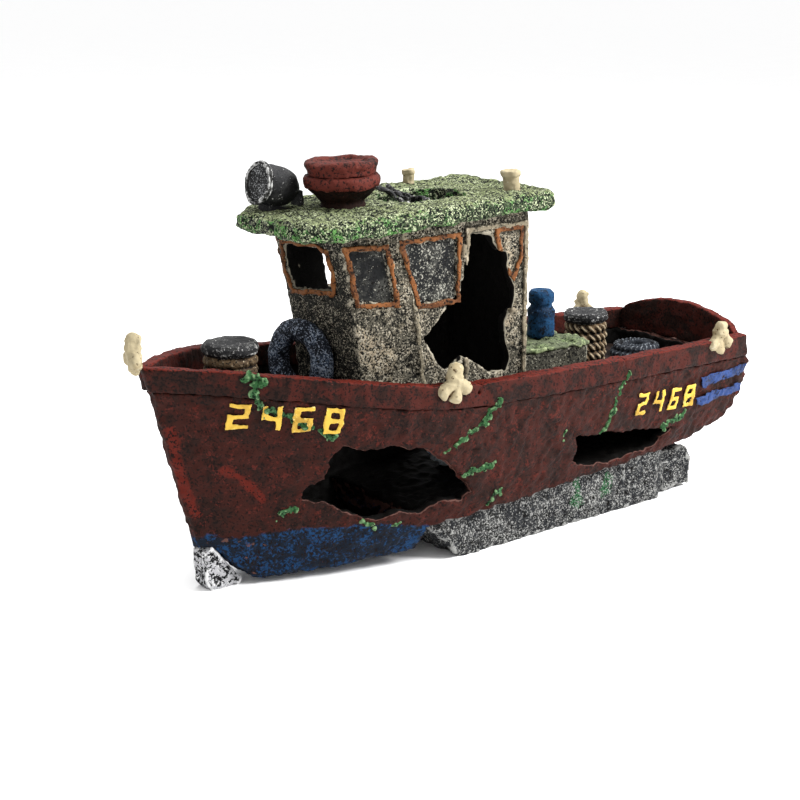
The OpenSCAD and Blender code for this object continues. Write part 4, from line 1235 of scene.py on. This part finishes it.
class BOAT_OT_stage(bpy.types.Operator):
    """Sets the camera, the soft light and the pale floor"""

    bl_idname = "boat.stage"
    bl_label = "Stage"

    def execute(self, context):
        stage = context.scene.boat_stage
        self.camera(context.scene, stage)
        self.floor()
        self.lights(context.scene, stage)
        context.scene.view_settings.view_transform = "Standard"
        return {"FINISHED"}

    def camera(self, scene, stage):
        a, e = stage.azimuth, stage.elevation
        back = Vector((math.sin(a) * math.cos(e), -math.cos(a) * math.cos(e), math.sin(e)))
        camera = bpy.data.objects.new("camera", bpy.data.cameras.new("camera"))
        camera.data.lens = stage.lens
        camera.data.clip_start = 0.01
        camera.location = Vector(stage.target) + back * stage.distance
        camera.rotation_euler = (-back).to_track_quat("-Z", "Y").to_euler()
        scene.collection.objects.link(camera)
        scene.camera = camera

    def floor(self):
        half = 12.0  # metres, so that its edge is out of sight
        mesh = bpy.data.meshes.new("floor")
        corners = [(-half, -half, 0), (half, -half, 0), (half, half, 0), (-half, half, 0)]
        mesh.from_pydata(corners, [], [(0, 1, 2, 3)])
        f = Finish("floor_paper")
        cloud = f.over(f.noise(60.0, 2.0, 0.5, 0.0), 0.3, 0.7)
        tint = f.blend(cloud, (0.975, 0.975, 0.978), (0.985, 0.985, 0.985))
        mesh.materials.append(f.finish(tint, f.noise(8.0), 0.02, (0.75, 0.85), specular=0.1))
        object_from("floor", mesh)

    def lights(self, scene, stage):
        world = bpy.data.worlds.new("studio")
        world.use_nodes = True
        sky = world.node_tree.nodes["Background"]
        sky.inputs["Color"].default_value = (1, 1, 1, 1)
        sky.inputs["Strength"].default_value = stage.sky
        scene.world = world
        # name, place, size and share of the key's power
        rows = (
            ("key", (0.42, -0.46, 0.6), 0.4, 1.0),
            ("top", (0.15, 0.3, 0.8), 0.5, 0.35),
        )
        for name, place, size, share in rows:
            lamp = bpy.data.lights.new(name, "AREA")
            lamp.size = size
            lamp.energy = stage.key * share
            holder = bpy.data.objects.new(name, lamp)
            holder.location = place
            away = Vector(place) - Vector(stage.target)
            holder.rotation_euler = away.to_track_quat("Z", "Y").to_euler()
            scene.collection.objects.link(holder)


# ------------------------------------------------------------------ add-on

OPERATORS = (
    BOAT_OT_stage, BOAT_OT_hull, BOAT_OT_rails, BOAT_OT_deck, BOAT_OT_rock, BOAT_OT_paint_marks,
    BOAT_OT_algae, BOAT_OT_wheelhouse, BOAT_OT_windows, BOAT_OT_door, BOAT_OT_roof, BOAT_OT_funnel,
    BOAT_OT_searchlight, BOAT_OT_bollards, BOAT_OT_tyre, BOAT_OT_hatch, BOAT_OT_rope_coil,
    BOAT_OT_cleats, BOAT_OT_air_line,
)
SETTINGS = {
    "boat_hull": BoatHullSettings, "boat_house": BoatHouseSettings,
    "boat_gear": BoatGearSettings, "boat_stage": BoatStageSettings,
}


class BOAT_PT_panel(bpy.types.Panel):
    """Lists the boat's pieces and settings"""

    bl_idname = "BOAT_PT_panel"
    bl_label = "Sunken fishing boat"
    bl_space_type = "VIEW_3D"
    bl_region_type = "UI"
    bl_category = "Boat"

    def draw(self, context):
        for kind in OPERATORS:
            self.layout.operator(kind.bl_idname)
        for name in SETTINGS:
            box = self.layout.box()
            group = getattr(context.scene, name)
            for row in group.bl_rna.properties:
                if row.identifier not in ("rna_type", "name"):
                    box.prop(group, row.identifier)


def register():
    for kind in (*SETTINGS.values(), *OPERATORS, BOAT_PT_panel):
        bpy.utils.register_class(kind)
    for name, kind in SETTINGS.items():
        setattr(bpy.types.Scene, name, PointerProperty(type=kind))


def unregister():
    for name in SETTINGS:
        delattr(bpy.types.Scene, name)
    for kind in (BOAT_PT_panel, *reversed(OPERATORS), *reversed(SETTINGS.values())):
        bpy.utils.unregister_class(kind)


def main():
    register()
    for kind in OPERATORS:
        getattr(bpy.ops.boat, kind.bl_idname.split(".")[1])()


if __name__ == "__main__":
    main()
